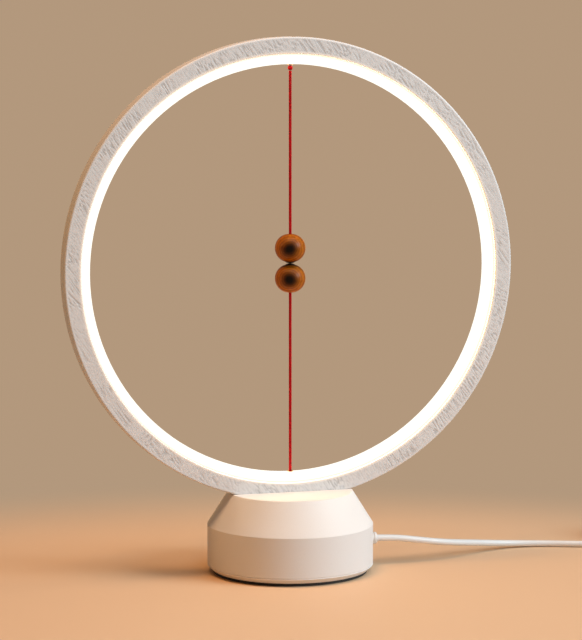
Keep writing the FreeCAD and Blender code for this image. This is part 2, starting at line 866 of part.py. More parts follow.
def switch_frame():
    floor = box(frame_left, frame_right, -frame_half_width, frame_half_width, weight_top, floor_top)
    floor = floor.makeFillet(1.5, [e for e in floor.Edges if e.BoundBox.ZLength > frame_floor / 2])
    cheeks = []
    left = -lever_arm - cheek_half_length
    right = -lever_arm + cheek_half_length
    for y0, y1 in ((cheek_inside, cheek_outside), (-cheek_outside, -cheek_inside)):
        cheek = box(left, right, y0, y1, weight_top, pin_height + cheek_rise)
        top = [e for e in cheek.Edges if e.BoundBox.YLength > 1 and e.BoundBox.ZMin > pin_height]
        cheeks.append(cheek.makeFillet(2.2, top))
    wall_y = microswitch_half + seat_gap
    wall_end = wall_y + cheek_thickness
    wall = box(microswitch_left, microswitch_right, wall_y, wall_end, weight_top, microswitch_top)
    stud = post(spring_stud_radius, -spring_arm, 0, weight_top, floor_top + spring_stud_height)
    frame = fused(floor, *cheeks, wall, stud)
    frame = frame.cut(across(-lever_arm, pin_height, pin_radius + running_gap, cheek_outside + 1))
    for x, y in frame_screw_places():
        frame = frame.cut(post(small_screw_radius + slide_gap, x, y, weight_top - 1, floor_top + 1))
    for x, z in microswitch_screw_places():
        frame = frame.cut(rod(small_screw_radius + running_gap, (x, 0, z), (x, wall_end + 1, z)))
    return frame


def frame_screws():
    size = (small_screw_radius, small_screw_head, small_screw_head_height)
    tip = weight_top - small_screw_bite + screw_end_gap
    screws = [screw(*size, (x, y, floor_top), (x, y, tip)) for x, y in frame_screw_places()]
    return Part.makeCompound(screws)


def switch_lever():
    """The lever that the lower cord lifts. It turns on a pin at its left end."""
    half = lever_width / 2
    top = lever_height + lever_thickness
    arm = box(-lever_arm, lever_tail, -half, half, lever_height, top)
    arm = arm.makeFillet(1.5, [e for e in arm.Edges if e.BoundBox.ZLength > 1 and e.BoundBox.XMin > 0])
    barrel = across(-lever_arm, pin_height, lever_barrel_radius, half)
    stud = post(spring_stud_radius, -spring_arm, 0, lever_height - spring_stud_height, lever_height)
    lever = fused(arm, barrel, stud)
    lever = lever.cut(across(-lever_arm, pin_height, pin_radius + running_gap, half + 1))
    return lever.cut(post(lever_hole_radius, 0, 0, lever_height - 1, top + 1))


def lever_pin():
    tail = cheek_outside + 1.6
    shaft = rod(pin_radius, (-lever_arm, -cheek_outside, pin_height), (-lever_arm, tail, pin_height))
    head_end = -cheek_outside - pin_head_height
    head = rod(pin_head_radius, (-lever_arm, head_end, pin_height), (-lever_arm, -cheek_outside, pin_height))
    return fused(shaft, head)


def pin_clip():
    """A spring clip that keeps the pin in the frame."""
    start = cheek_outside + seat_gap
    ring = rod(pin_head_radius, (-lever_arm, start, pin_height), (-lever_arm, start + 0.6, pin_height))
    ring = ring.cut(across(-lever_arm, pin_height, pin_radius, 2 * cheek_outside))
    gap = 0.7 * pin_radius
    return ring.cut(box(-lever_arm - gap, -lever_arm + gap, start - 1, start + 1, pin_height - 3, pin_height))


def return_spring():
    """A pull spring wound on two studs. It is stretched while the cord holds the lever up."""
    bottom = floor_top + 0.3
    top = lever_height - 0.3
    height = top - bottom - spring_wire
    helix = Part.makeHelix(height / spring_turns, height, spring_radius)
    start = V(spring_radius, 0, 0)
    circle = Part.Wire([Part.makeCircle(spring_wire / 2, start, V(0, 1, 0))])
    coil = Part.Wire(helix).makePipeShell([circle], True, True)
    coil.translate(V(-spring_arm, 0, bottom + spring_wire / 2))
    return coil


def microswitch_screw_places():
    z = (floor_top + microswitch_top) / 2 - 1.2
    left = microswitch_left + microswitch_screw_inset
    right = microswitch_right - microswitch_screw_inset
    return [(left, z), (right, z)]


def microswitch_body():
    half = microswitch_half
    body = box(microswitch_left, microswitch_right, -half, half, floor_top, microswitch_top)
    body = body.makeFillet(0.4, [e for e in body.Edges if e.BoundBox.ZMin > floor_top + 1])
    for x, z in microswitch_screw_places():
        body = body.cut(across(x, z, small_screw_radius + slide_gap, half + 1))
    x = -lever_arm + plunger_arm
    bore_bottom = microswitch_top - plunger_stand_out - plunger_travel - 1
    return body.cut(post(plunger_radius + running_gap, x, 0, bore_bottom, microswitch_top + 1))


def microswitch_plunger():
    x = -lever_arm + plunger_arm
    bottom = microswitch_top - plunger_stand_out - 0.5
    plunger = post(plunger_radius, x, 0, bottom, plunger_tip)
    top = [e for e in plunger.Edges if e.BoundBox.ZMin > plunger_tip - 0.1]
    return plunger.makeFillet(0.4, top)


def microswitch_terminals():
    half = terminal_width / 2
    top = terminal_bottom + terminal_thickness
    tabs = []
    for y in (-terminal_pitch, 0, terminal_pitch):
        tabs.append(box(microswitch_right, terminal_end, y - half, y + half, terminal_bottom, top))
    return Part.makeCompound(tabs)


def switch_screws():
    size = (small_screw_radius, small_screw_head, small_screw_head_height)
    end = microswitch_half + seat_gap + cheek_thickness + 0.4
    screws = [screw(*size, (x, -microswitch_half, z), (x, end, z)) for x, z in microswitch_screw_places()]
    return Part.makeCompound(screws)


# ---- circuit board ----
def board_screw_places():
    y = board_front + board_width / 2
    return [(-board_screw_x, y), (board_screw_x, y)]


def board_standoffs():
    spacers = []
    for x, y in board_screw_places():
        spacer = post(standoff_radius, x, y, weight_top, board_bottom)
        bore = post(small_screw_radius + slide_gap, x, y, weight_top - 1, board_bottom + 1)
        spacers.append(spacer.cut(bore))
    return Part.makeCompound(spacers)


def control_board():
    half = board_length / 2
    board = box(-half, half, board_front, board_front + board_width, board_bottom, board_top)
    board = board.makeFillet(1.0, [e for e in board.Edges if e.BoundBox.ZLength > 1])
    for x, y in board_screw_places():
        board = board.cut(post(small_screw_radius + slide_gap, x, y, board_bottom - 1, board_top + 1))
    return board


def board_screws():
    size = (small_screw_radius, small_screw_head, small_screw_head_height)
    tip = weight_top - small_screw_bite + screw_end_gap
    screws = [screw(*size, (x, y, board_top), (x, y, tip)) for x, y in board_screw_places()]
    return Part.makeCompound(screws)


def board_components():
    """A driver chip, an inductor and two resistors as blocks, two capacitors and the three wire sockets."""
    blocks = [
        (-1.0, 4.0, 5.0, 4.0, 1.6),
        (-1.0, 9.2, 4.8, 4.0, 2.6),
        (-7.3, 5.4, 1.2, 2.0, 0.5),
        (-5.4, 5.4, 1.2, 2.0, 0.5),
    ]
    capacitors = [(4.9, 9.2), (-6.6, 9.4)]
    blocks += [(x, socket_y - board_front, socket_length, socket_width, socket_height) for x in socket_places]
    pieces = []
    for x, y, length, width, height in blocks:
        front = board_front + y - width / 2
        back = front + width
        pieces.append(box(x - length / 2, x + length / 2, front, back, board_top, board_top + height))
    for x, y in capacitors:
        pieces.append(post(capacitor_radius, x, board_front + y, board_top, board_top + capacitor_height))
    return Part.makeCompound(pieces)


def wire_pair(route, side):
    """Two thin wires along a route. They start apart along side, and keep side by side round each bend."""
    corners = [V(*p) for p in route]
    runs = [(after - before).normalize() for before, after in zip(corners, corners[1:])]
    sides = [V(*side)]
    for before, after in zip(runs, runs[1:]):
        sides.append(FreeCAD.Rotation(before, after).multVec(sides[-1]))
    middles = [(before + after).normalize() for before, after in zip(sides[1:], sides[2:-1])]
    offsets = [sides[0], sides[0]] + middles + [sides[-1], sides[-1]]
    wires = []
    for reach in (-wire_spread, wire_spread):
        points = [corner + offset * reach for corner, offset in zip(corners, offsets)]
        wires.append(cord_tube(points, wire_diameter))
    return Part.makeCompound(wires)


def slack(start, end):
    """Two points between two others, lifted off the straight line."""
    start = V(*start)
    across_gap = V(*end) - start
    return [start + across_gap * share + V(0, 0, wire_lift) for share in (0.3, 0.7)]


def socket_end(x):
    """The end of a wire that goes straight down into a socket."""
    return [(x, socket_y, socket_top + 1.5 * wire_bend), (x, socket_y, socket_top)]


def led_wires():
    """From the end of the lit strip down through the saddle to the board's right socket."""
    angle = math.radians(strip_gap_angle / 2 + 1.4)
    radius = channel_radius - seat_gap - strip_thickness - wire_diameter / 2
    strip_end = (radius * math.sin(angle), 0, ring_centre - radius * math.cos(angle))
    above = (wire_hole_x + 2 * wire_bend, 0, strip_end[2])
    mouth = (wire_hole_x, 0, ceiling + 2 * wire_bend)
    below = (wire_hole_x, 0, saddle_bottom - wire_bend)
    end = socket_end(socket_places[2])
    return wire_pair([strip_end, above, mouth, below] + slack(below, end[0]) + end, (0, 1, 0))


def switch_wires():
    """From two of the switch's tabs to the board's middle socket."""
    y = terminal_pitch / 2
    z = terminal_bottom + terminal_thickness / 2
    turn = (terminal_end + 1.5 * wire_bend, y + 1.5 * wire_bend, z + wire_bend)
    end = socket_end(socket_places[1])
    start = [(terminal_end, y, z), (terminal_end + wire_bend, y, z), turn]
    return wire_pair(start + slack(turn, end[0]) + end, (0, 1, 0))


def supply_wires():
    """From the end of the lead, in a loop round the switch, to the board's left socket."""
    route = [(lead_inner_end, 0, lead_height), (lead_inner_end - 2 * wire_bend, 0, lead_height)]
    end = socket_end(socket_places[0])
    loop_x = weight_radius - 2 * lead_stub
    rise = end[0][2] - wire_bend - lead_height
    for k in range(8):
        angle = math.radians(-60 - 25 * k)
        z = lead_height + rise * (k / 7) ** 2
        route.append((loop_x * math.cos(angle), wire_loop_half_width * math.sin(angle), z))
    return wire_pair(route + end, (0, 1, 0))


# ---- lead ----
def clamp_screw_places():
    return [(lead_clamp_x, -4.6), (lead_clamp_x, 4.6)]


def lead_clamp():
    left = lead_clamp_x - lead_clamp_length / 2
    right = left + lead_clamp_length
    top = lead_height + lead_radius + lead_clamp_cap
    block = box(left, right, -lead_clamp_half_width, lead_clamp_half_width, weight_top, top)
    block = block.makeFillet(0.8, [e for e in block.Edges if e.BoundBox.ZMin > top - 0.1])
    block = block.common(post(weight_radius - 0.3, 0, 0, weight_top, top))
    for x, y in clamp_screw_places():
        block = block.cut(post(small_screw_radius + slide_gap, x, y, weight_top - 1, top + 1))
    return block.cut(rod(lead_radius + running_gap, (left - 1, 0, lead_height), (right + 1, 0, lead_height)))


def clamp_screws():
    size = (small_screw_radius, small_screw_head, small_screw_head_height)
    seat = lead_height + lead_radius + lead_clamp_cap
    tip = weight_top - small_screw_bite + screw_end_gap
    screws = [screw(*size, (x, y, seat), (x, y, tip)) for x, y in clamp_screw_places()]
    return Part.makeCompound(screws)


def lead_boot():
    """The collar that the lead comes out of, held in the shell's wall by a flange on each side."""
    inner_face = math.sqrt((base_radius - shell_wall) ** 2 - boot_inner_radius**2)
    inner_start = inner_face - boot_inner_thickness
    collar = rod(boot_flange_radius, (base_radius, 0, lead_height), (boot_end, 0, lead_height))
    outer_edge = [e for e in collar.Edges if e.BoundBox.XMin > boot_end - 0.1]
    collar = collar.makeFillet(0.6, outer_edge)
    neck = rod(boot_neck_radius, (inner_start, 0, lead_height), (base_radius + 0.5, 0, lead_height))
    flange = rod(boot_inner_radius, (inner_start, 0, lead_height), (inner_face, 0, lead_height))
    boot = fused(collar, neck, flange)
    return boot.cut(rod(lead_radius + running_gap, (0, 0, lead_height), (boot_end + 1, 0, lead_height)))


def lead_inner():
    """The stretch of the lead inside the base, from the boot's mouth to the clamp."""
    return rod(lead_radius, (lead_inner_end, 0, lead_height), (boot_end, 0, lead_height))


def supply_lead():
    first = cord_tube(lead_route, lead_diameter, "lead")
    second = cord_tube(plug_route, lead_diameter, "plug end")
    return Part.makeCompound([first, second])


def lead_coil():
    """The outer shape of the lead's spare length, wound up and tied."""
    bottom = tie_thickness
    top = tie_thickness + coil_height
    rounding = lead_radius
    return turned(
        [
            (coil_inside, bottom, rounding),
            (coil_outside, bottom, rounding),
            (coil_outside, top, rounding),
            (coil_inside, top, rounding),
        ],
        coil_x,
        coil_y,
    )


def coil_tie():
    half = tie_width / 2
    y0, y1 = coil_y + coil_inside - 0.5, coil_y + coil_outside
    t = tie_thickness
    z1 = t + coil_height
    band = box(coil_x - half, coil_x + half, y0 - t, y1 + t, 0, z1 + t)
    window = box(coil_x - half - 1, coil_x + half + 1, y0, y1, t, z1)
    return band.cut(window)


def plug_box(half_x, half_z, y0, y1, rounding):
    """A block along the plug, with its long edges rounded."""
    block = box(plug_x - half_x, plug_x + half_x, y0, y1, plug_middle - half_z, plug_middle + half_z)
    if rounding == 0:
        return block
    along = [e for e in block.Edges if e.BoundBox.YLength > (y1 - y0) / 2]
    return block.makeFillet(rounding, along)


def plug_body():
    start = plug_back_y + plug_relief_length
    end = start + plug_length - plug_relief_length
    block = plug_box(plug_width / 2, plug_height / 2, start, end, plug_edge_round)
    relief_start = V(plug_x, plug_back_y, plug_middle)
    relief_length = plug_relief_length + 0.5
    relief = Part.makeCone(lead_radius + 0.5, lead_radius + 1.3, relief_length, relief_start, V(0, 1, 0))
    body = fused(block, relief)
    half_x = plug_shell_width / 2
    socket = plug_box(half_x, plug_shell_height / 2, end - plug_shell_bury, end + 1, plug_shell_round)
    return body.cut(socket)


def plug_front():
    return plug_back_y + plug_length


def plug_shell():
    """The plug's folded metal sleeve."""
    start = plug_front() - plug_shell_bury
    end = plug_front() + plug_shell_length
    half_x = plug_shell_width / 2
    half_z = plug_shell_height / 2
    sleeve = plug_box(half_x, half_z, start, end, plug_shell_round)
    wall = plug_shell_wall
    sleeve = sleeve.cut(plug_box(half_x - wall, half_z - wall, start + 1, end + 1, plug_shell_inner_round))
    for side in (-1, 1):
        x = plug_x + side * 2.9
        y = end - 5.2
        window = box(x - 1.1, x + 1.1, y - 1.1, y + 1.1, plug_middle, plug_middle + half_z + 1)
        sleeve = sleeve.cut(window)
    return sleeve


def plug_insert():
    """The plastic tongue that carries the contacts."""
    half_x = plug_shell_width / 2 - plug_shell_wall - plug_shell_inner_round
    start = plug_front() - plug_shell_bury + 1
    end = plug_front() + plug_shell_length - 0.5
    bottom = plug_middle - plug_shell_height / 2 + plug_shell_wall
    return box(plug_x - half_x, plug_x + half_x, start, end, bottom, bottom + plug_tongue_thickness)


def plug_contacts():
    bottom = plug_middle - plug_shell_height / 2 + plug_shell_wall + plug_tongue_thickness
    end = plug_front() + plug_shell_length - 1.2
    strips = []
    for x in (-3.5, -1.0, 1.0, 3.5):
        strips.append(box(plug_x + x - 0.5, plug_x + x + 0.5, end - 8.5, end, bottom, bottom + 0.15))
    return Part.makeCompound(strips)


nodes = [
    base_shell, base_plate, foot_ring, plate_screws, counterweight, weight_screws,
    ring_saddle, saddle_screws, ring_screws,
    ring_rear_shell, ring_front_cover, ring_diffuser, led_strip, led_chips, upper_eyelet, lower_eyelet,
    upper_cord_root, upper_knot, upper_cord, upper_ball, upper_magnet, upper_crimp,
    lower_ball, lower_magnet, lower_crimp, lower_ball_cord,
    lower_cord_upper_half, lower_cord_lower_half, pull_cord_tail, pull_bead,
    switch_frame, frame_screws, switch_lever, lever_pin, pin_clip, return_spring,
    microswitch_body, microswitch_plunger, microswitch_terminals, switch_screws,
    board_standoffs, control_board, board_screws, board_components, led_wires, switch_wires, supply_wires,
    lead_boot, lead_inner, lead_clamp, clamp_screws, supply_lead, lead_coil, coil_tie,
    plug_body, plug_shell, plug_insert, plug_contacts,
]

os.makedirs("parts", exist_ok=True)
for node in nodes:
    shape = node()
    if not shape.isValid():
        print(node.__name__, "isn't a valid shape")
    shape.exportStep("parts/" + node.__name__ + ".step")
spare = coil_layers * coil_columns * math.pi * coil_diameter
run = cord_path(lead_route)[0].Length + cord_path(plug_route)[0].Length
print(len(nodes), "nodes, a lead of", round(spare + run), "mm")
print("pivots: upper", upper_pivot, "lower", lower_pivot, "knee", knee, "lever pin", -lever_arm, pin_height)
print("lever swing", math.degrees(lever_swing), "spring", floor_top, lever_height)
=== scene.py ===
# %% [markdown]
# # A magnetic balance lamp
#
# A lit ring stands on a round weighted base. Two wooden balls hang inside it on red cords, and when they
# meet in the middle their magnets hold, the lower cord pulls a lever, and the ring lights.
#
# The solids come packed from the CAD model, already in their places and on their bodies. This script
# gives them their looks. A solid whose shape is right keeps it and gets a material. The cords, the lead
# and its collar, the magnets, the spring, the screws and the ring's grained face are modelled again
# here, in the places that their solids hold.

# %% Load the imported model
import bmesh
import bpy
import json
import math
from mathutils import Matrix, Vector


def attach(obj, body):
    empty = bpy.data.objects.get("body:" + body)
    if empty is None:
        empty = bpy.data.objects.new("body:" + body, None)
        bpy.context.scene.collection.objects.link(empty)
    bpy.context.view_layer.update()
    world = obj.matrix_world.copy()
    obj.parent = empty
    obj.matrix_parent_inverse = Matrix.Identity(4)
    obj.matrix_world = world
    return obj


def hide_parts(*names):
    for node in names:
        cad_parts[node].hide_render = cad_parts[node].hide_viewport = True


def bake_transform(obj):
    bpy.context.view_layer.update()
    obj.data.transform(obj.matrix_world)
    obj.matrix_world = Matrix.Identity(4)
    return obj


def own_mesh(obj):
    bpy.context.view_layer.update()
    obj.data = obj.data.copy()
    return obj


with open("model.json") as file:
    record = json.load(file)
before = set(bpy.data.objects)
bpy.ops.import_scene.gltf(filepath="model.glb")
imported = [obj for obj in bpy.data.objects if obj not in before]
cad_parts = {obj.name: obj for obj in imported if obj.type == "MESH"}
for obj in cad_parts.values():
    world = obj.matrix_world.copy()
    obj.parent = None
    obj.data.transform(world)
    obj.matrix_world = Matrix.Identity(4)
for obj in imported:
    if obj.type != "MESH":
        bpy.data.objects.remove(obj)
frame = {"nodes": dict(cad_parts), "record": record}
nodes = frame["nodes"]
slot_of = {part["node"]: part["material_slot"] for part in frame["record"]["subparts"]}
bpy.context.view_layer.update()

# %% [markdown]
# ## The camera
#
# A product picture of a lamp is taken with a long lens from about its own height, so that the ring
# stays round. The camera stands a little to the left of the front, which shows the ring's depth on
# that side. Its place is worked out from an angle and a distance, and that is easier to tune than
# three numbers.

# %% Place the camera
IMAGE_WIDTH, IMAGE_HEIGHT = 582, 640
SENSOR = 36.0
camera_yaw = math.radians(-16.0)
camera_distance = 1.25
camera_height = 0.267
camera_focal_px = 2631.0
camera_target = Vector((0.0004, 0.0, 0.1217))

camera_data = bpy.data.cameras.new("camera")
camera_data.sensor_width = SENSOR
camera_data.lens = camera_focal_px / max(IMAGE_WIDTH, IMAGE_HEIGHT) * SENSOR
camera = bpy.data.objects.new("camera", camera_data)
camera.location = (
    math.sin(camera_yaw) * camera_distance,
    -math.cos(camera_yaw) * camera_distance,
    camera_height,
)
camera.rotation_mode = "QUATERNION"
camera.rotation_quaternion = (camera_target - camera.location).to_track_quat("-Z", "Y")
camera_data.clip_start = 0.05
bpy.context.scene.collection.objects.link(camera)
bpy.context.scene.camera = camera
print("lens", round(camera_data.lens, 1), "mm")

# %% [markdown]
# ## The supply lead
#
# The lead is 1.5 m of white cable, 3.2 mm thick. It leaves the base on the right, sinks to the table and
# drifts a little to the back, and its spare length is wound in twelve turns beside the lamp. One open
# NURBS spline is the right tool, because a spline with few points bends as evenly as a real cable does.
# The turns of the coil are more points of the same spline, sixteen to a turn, worked out by a loop. A
# spline of order 3 runs inside its points, so the loop puts them a little further out.

# %% A curve through given points
def route_curve(name, points, steps):
    """An open NURBS spline with these control points, which bends evenly past each of them."""
    curve = bpy.data.curves.new(name, "CURVE")
    curve.dimensions = "3D"
    curve.resolution_u = steps
    spline = curve.splines.new("NURBS")
    spline.points.add(len(points) - 1)
    for point, place in zip(spline.points, points):
        point.co = (*place, 1.0)
    spline.order_u = 3
    spline.use_endpoint_u = True
    curve_object = bpy.data.objects.new(name, curve)
    bpy.context.scene.collection.objects.link(curve_object)
    return curve_object


# %% Wind the lead
LEAD_DIAMETER = 0.0032
COIL_CENTRE = Vector((0.200, 0.0240))
COIL_RADII = (0.0200, 0.0168, 0.0136)
COIL_HEIGHTS = (0.0020, 0.0052, 0.0084, 0.0116)
COIL_STEPS = 16
CHANGE_SHARE = 0.25

lead_route = [
    (0.0422, 0.0, 0.0135),
    (0.0515, 0.0, 0.0132),
    (0.0615, 0.0003, 0.0118),
    (0.0720, 0.0018, 0.0099),
    (0.0820, 0.0046, 0.0082),
    (0.0920, 0.0090, 0.0066),
    (0.1020, 0.0140, 0.0050),
    (0.1125, 0.0182, 0.0034),
    (0.1245, 0.0208, 0.0021),
    (0.1380, 0.0192, 0.0016),
    (0.1530, 0.0136, 0.0016),
    (0.1685, 0.0076, 0.0016),
    (0.1845, 0.0044, 0.0018),
]
plug_route = [
    (0.2095, 0.0044, 0.0113),
    (0.2185, 0.0077, 0.0099),
    (0.2255, 0.0145, 0.0079),
    (0.2294, 0.0234, 0.0056),
    (0.2305, 0.0326, 0.0042),
    (0.2305, 0.0416, 0.0038),
]


def coil_points():
    """Twelve turns, three beside each other in each of four layers. The layers go in and out by turns."""
    turns = []
    for layer, height in enumerate(COIL_HEIGHTS):
        radii = COIL_RADII if layer % 2 == 0 else COIL_RADII[::-1]
        turns += [(radius, height) for radius in radii]
    turns.append(turns[-1])
    outwards = 1 / math.cos(math.pi / COIL_STEPS)
    points = []
    for turn, (here, after) in enumerate(zip(turns, turns[1:])):
        for step in range(COIL_STEPS):
            share = max(0.0, (step / COIL_STEPS - 1 + CHANGE_SHARE) / CHANGE_SHARE)
            radius = (here[0] + (after[0] - here[0]) * share) * outwards
            height = here[1] + (after[1] - here[1]) * share
            angle = -math.pi / 2 + 2 * math.pi * step / COIL_STEPS
            across, along = radius * math.cos(angle), radius * math.sin(angle)
            points.append((COIL_CENTRE.x + across, COIL_CENTRE.y + along, height))
    points.append((COIL_CENTRE.x, COIL_CENTRE.y - turns[-1][0] * outwards, turns[-1][1]))
    return points


supply_cable = route_curve("supply_cable", lead_route + coil_points() + plug_route, 5)
supply_cable.data.bevel_depth = LEAD_DIAMETER / 2
supply_cable.data.bevel_resolution = 4
print("lead:", len(supply_cable.data.splines[0].points), "points")

# %% [markdown]
# ## Helpers for Geometry Nodes
#
# What repeats, or follows a line or a surface by a rule, is made by Geometry Nodes: the braid of the
# cords, the spring, the screws and the grain of the ring's face. Each tree has named inputs for its
# sizes. These helpers keep the trees short: one starts a tree, one adds a node and fills its sockets,
# and one runs a finished tree on an object and keeps the plain mesh that comes out. The short sums on
# numbers and vectors serve the shaders as well.

# %% Start a tree, fill it, run it
def start_tree(name, inputs):
    """A Geometry Nodes tree with a geometry socket and these inputs, given as name: (kind, value)."""
    tree = bpy.data.node_groups.new(name, "GeometryNodeTree")
    tree.interface.new_socket("Geometry", in_out="INPUT", socket_type="NodeSocketGeometry")
    for label, (kind, value) in inputs.items():
        socket = tree.interface.new_socket(label, in_out="INPUT", socket_type="NodeSocket" + kind)
        if value is not None:
            socket.default_value = value
    tree.interface.new_socket("Geometry", in_out="OUTPUT", socket_type="NodeSocketGeometry")
    start = tree.nodes.new("NodeGroupInput")
    return tree, start.outputs


def fill(tree, socket, value):
    """Links a socket to another node's output, or sets its value."""
    if isinstance(value, bpy.types.NodeSocket):
        tree.links.new(value, socket)
    else:
        socket.default_value = value


def add(tree, kind, inputs=(), **settings):
    """A node with its settings made and its sockets filled, by name or number."""
    node = tree.nodes.new(kind)
    for key, value in settings.items():
        setattr(node, key, value)
    for key, value in dict(inputs).items():
        fill(tree, node.inputs[key], value)
    return node


def calc(tree, operation, first, second=0.0, third=0.0):
    """One sum on plain numbers."""
    return add(tree, "ShaderNodeMath", {0: first, 1: second, 2: third}, operation=operation).outputs[0]


def plus(tree, first, second):
    return calc(tree, "ADD", first, second)


def minus(tree, first, second):
    return calc(tree, "SUBTRACT", first, second)


def times(tree, first, second):
    return calc(tree, "MULTIPLY", first, second)


def divided(tree, first, second):
    return calc(tree, "DIVIDE", first, second)


def hypotenuse(tree, first, second):
    """How far a point lies from an axis, from its two distances at right angles to it."""
    squares = [calc(tree, "POWER", side, 2.0) for side in (first, second)]
    return calc(tree, "SQRT", plus(tree, *squares))


def split(tree, vector):
    """The X, Y and Z of a vector."""
    return add(tree, "ShaderNodeSeparateXYZ", {0: vector}).outputs


def vector_of(tree, axes):
    """A vector from the axes given, as number: value. The others are nought."""
    return add(tree, "ShaderNodeCombineXYZ", axes).outputs[0]


def arrow(tree, operation, first, second):
    """One sum on vectors."""
    return add(tree, "ShaderNodeVectorMath", {0: first, 1: second}, operation=operation).outputs[0]


def lengthen(tree, vector, scale):
    """A vector times a number."""
    return add(tree, "ShaderNodeVectorMath", {0: vector, "Scale": scale}, operation="SCALE").outputs[0]


def blend_step(tree, value, low, high, to_low=0.0, to_high=1.0):
    """Turns low..high into to_low..to_high with soft ends."""
    sockets = {"Value": value, "From Min": low, "From Max": high, "To Min": to_low, "To Max": to_high}
    return add(tree, "ShaderNodeMapRange", sockets, interpolation_type="SMOOTHSTEP").outputs[0]


def drawn_wire(tree, line, radius, sides):
    """A wire with closed ends along a line."""
    profile = add(tree, "GeometryNodeCurvePrimitiveCircle", {"Resolution": sides, "Radius": radius})
    sockets = {0: line, 1: profile.outputs[0], "Fill Caps": True}
    return add(tree, "GeometryNodeCurveToMesh", sockets).outputs[0]


def shifted(tree, geometry, place):
    """Geometry moved by a vector."""
    return add(tree, "GeometryNodeTransform", {"Geometry": geometry, "Translation": place}).outputs[0]


def joined(tree, pieces):
    """Several pieces of geometry as one."""
    whole = add(tree, "GeometryNodeJoinGeometry")
    for piece in pieces:
        tree.links.new(piece, whole.inputs[0])
    return whole.outputs[0]


CREASE_ANGLE = 0.6


def end_tree(tree, geometry, material):
    """Every tree ends the same way: real geometry, soft shading with sharp creases, and its material."""
    real = add(tree, "GeometryNodeRealizeInstances", {0: geometry})
    soft = add(tree, "GeometryNodeSetShadeSmooth", {0: real.outputs[0]})
    angle = add(tree, "GeometryNodeInputMeshEdgeAngle").outputs["Unsigned Angle"]
    sharp = add(tree, "FunctionNodeCompare", {0: angle, 1: CREASE_ANGLE}, operation="GREATER_THAN").outputs[0]
    edges = {0: soft.outputs[0], "Selection": sharp, "Shade Smooth": False}
    creased = add(tree, "GeometryNodeSetShadeSmooth", edges, domain="EDGE")
    dressed = add(tree, "GeometryNodeSetMaterial", {0: creased.outputs[0], "Material": material})
    end = tree.nodes.new("NodeGroupOutput")
    tree.links.new(dressed.outputs[0], end.inputs[0])


def run_tree(carrier, tree, values):
    """Runs a tree on an object, whose inputs are set by identifier, and returns the plain mesh."""
    modifier = carrier.modifiers.new(tree.name, "NODES")
    modifier.node_group = tree
    for item in tree.interface.items_tree:
        if item.in_out == "INPUT" and item.name in values:
            modifier[item.identifier] = values[item.name]
    carrier.update_tag()
    bpy.context.view_layer.update()
    mesh = bpy.data.meshes.new_from_object(carrier.evaluated_get(bpy.context.evaluated_depsgraph_get()))
    carrier.modifiers.remove(modifier)
    return mesh


def new_piece(name, mesh, *materials):
    """A mesh as an object at the origin, with its place in its mesh."""
    for material in materials:
        mesh.materials.append(material)
    mesh.name = name
    piece = bpy.data.objects.new(name, mesh)
    bpy.context.scene.collection.objects.link(piece)
    return piece


def arc(centre, radius, first, last, steps):
    """Points of an arc between two angles in degrees."""
    angles = [math.radians(first + (last - first) * k / steps) for k in range(steps + 1)]
    return [(centre[0] + radius * math.cos(a), centre[1] + radius * math.sin(a)) for a in angles]


def lathe(profile, columns, placing):
    """A closed outline of (radius, height) points, turned about Z and put where placing says."""
    turned = []
    for k in range(columns):
        angle = 2 * math.pi * k / columns
        turned += [placing @ Vector((r * math.cos(angle), r * math.sin(angle), h)) for r, h in profile]
    rows = len(profile)
    faces = []
    for k in range(columns):
        here, after = k * rows, (k + 1) % columns * rows
        for i in range(rows):
            j = (i + 1) % rows
            faces.append((here + i, here + j, after + j, after + i))
    mesh = bpy.data.meshes.new("turned")
    mesh.from_pydata(turned, [], faces)
    shell = bmesh.new()
    shell.from_mesh(mesh)
    bmesh.ops.remove_doubles(shell, verts=shell.verts, dist=0.000001)
    bmesh.ops.recalc_face_normals(shell, faces=shell.faces)
    shell.to_mesh(mesh)
    shell.free()
    mesh.shade_smooth()
    mesh.set_sharp_from_angle(angle=math.radians(35))
    return mesh


def settle(piece, body, slot, *replaced):
    """A finished piece rides on its body and stands for its solids. Its slot is not used."""
    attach(piece, body)
    if replaced:
        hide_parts(*replaced)
    print(piece.name, "rides on", body, "for", replaced)


def carrier_of(points):
    """A throwaway object that holds loose points for a tree to work on."""
    mesh = bpy.data.meshes.new("carrier")
    mesh.from_pydata(points, [], [])
    return new_piece("carrier", mesh)


# %% [markdown]
# ## Finishes
#
# A finish is a shader node group that several materials share, each with its own values. A group puts
# out only what changes over the surface: a colour, a roughness and a height for the bump. The shader
# itself stays in the material, and whatever is the same all over is set on the shader's own socket.
# All patterns read Object coordinates or a value that the mesh carries, so they stay on the piece from
# any side.

# %% Start a finish
def start_finish(name, inputs):
    """A shader group with these inputs that puts out a colour, a roughness and a height."""
    group = bpy.data.node_groups.new(name, "ShaderNodeTree")
    for label, (kind, value) in inputs.items():
        socket = group.interface.new_socket(label, in_out="INPUT", socket_type="NodeSocket" + kind)
        socket.default_value = value
    for label, kind in (("Colour", "Color"), ("Roughness", "Float"), ("Height", "Float")):
        group.interface.new_socket(label, in_out="OUTPUT", socket_type="NodeSocket" + kind)
    place = add(group, "ShaderNodeTexCoord").outputs["Object"]
    return group, group.nodes.new("NodeGroupInput").outputs, place


def end_finish(group, colour, roughness, height):
    """Links a finish to what it puts out."""
    end = group.nodes.new("NodeGroupOutput")
    for socket, value in zip(end.inputs, (colour, roughness, height)):
        fill(group, socket, value)


def noise(tree, place, scale, detail, stretch=None):
    """The value of a noise pattern. A stretch makes it finer along each axis by that factor."""
    if stretch is not None:
        place = arrow(tree, "MULTIPLY", place, stretch)
    return add(tree, "ShaderNodeTexNoise", {"Vector": place, "Scale": scale, "Detail": detail}).outputs["Fac"]


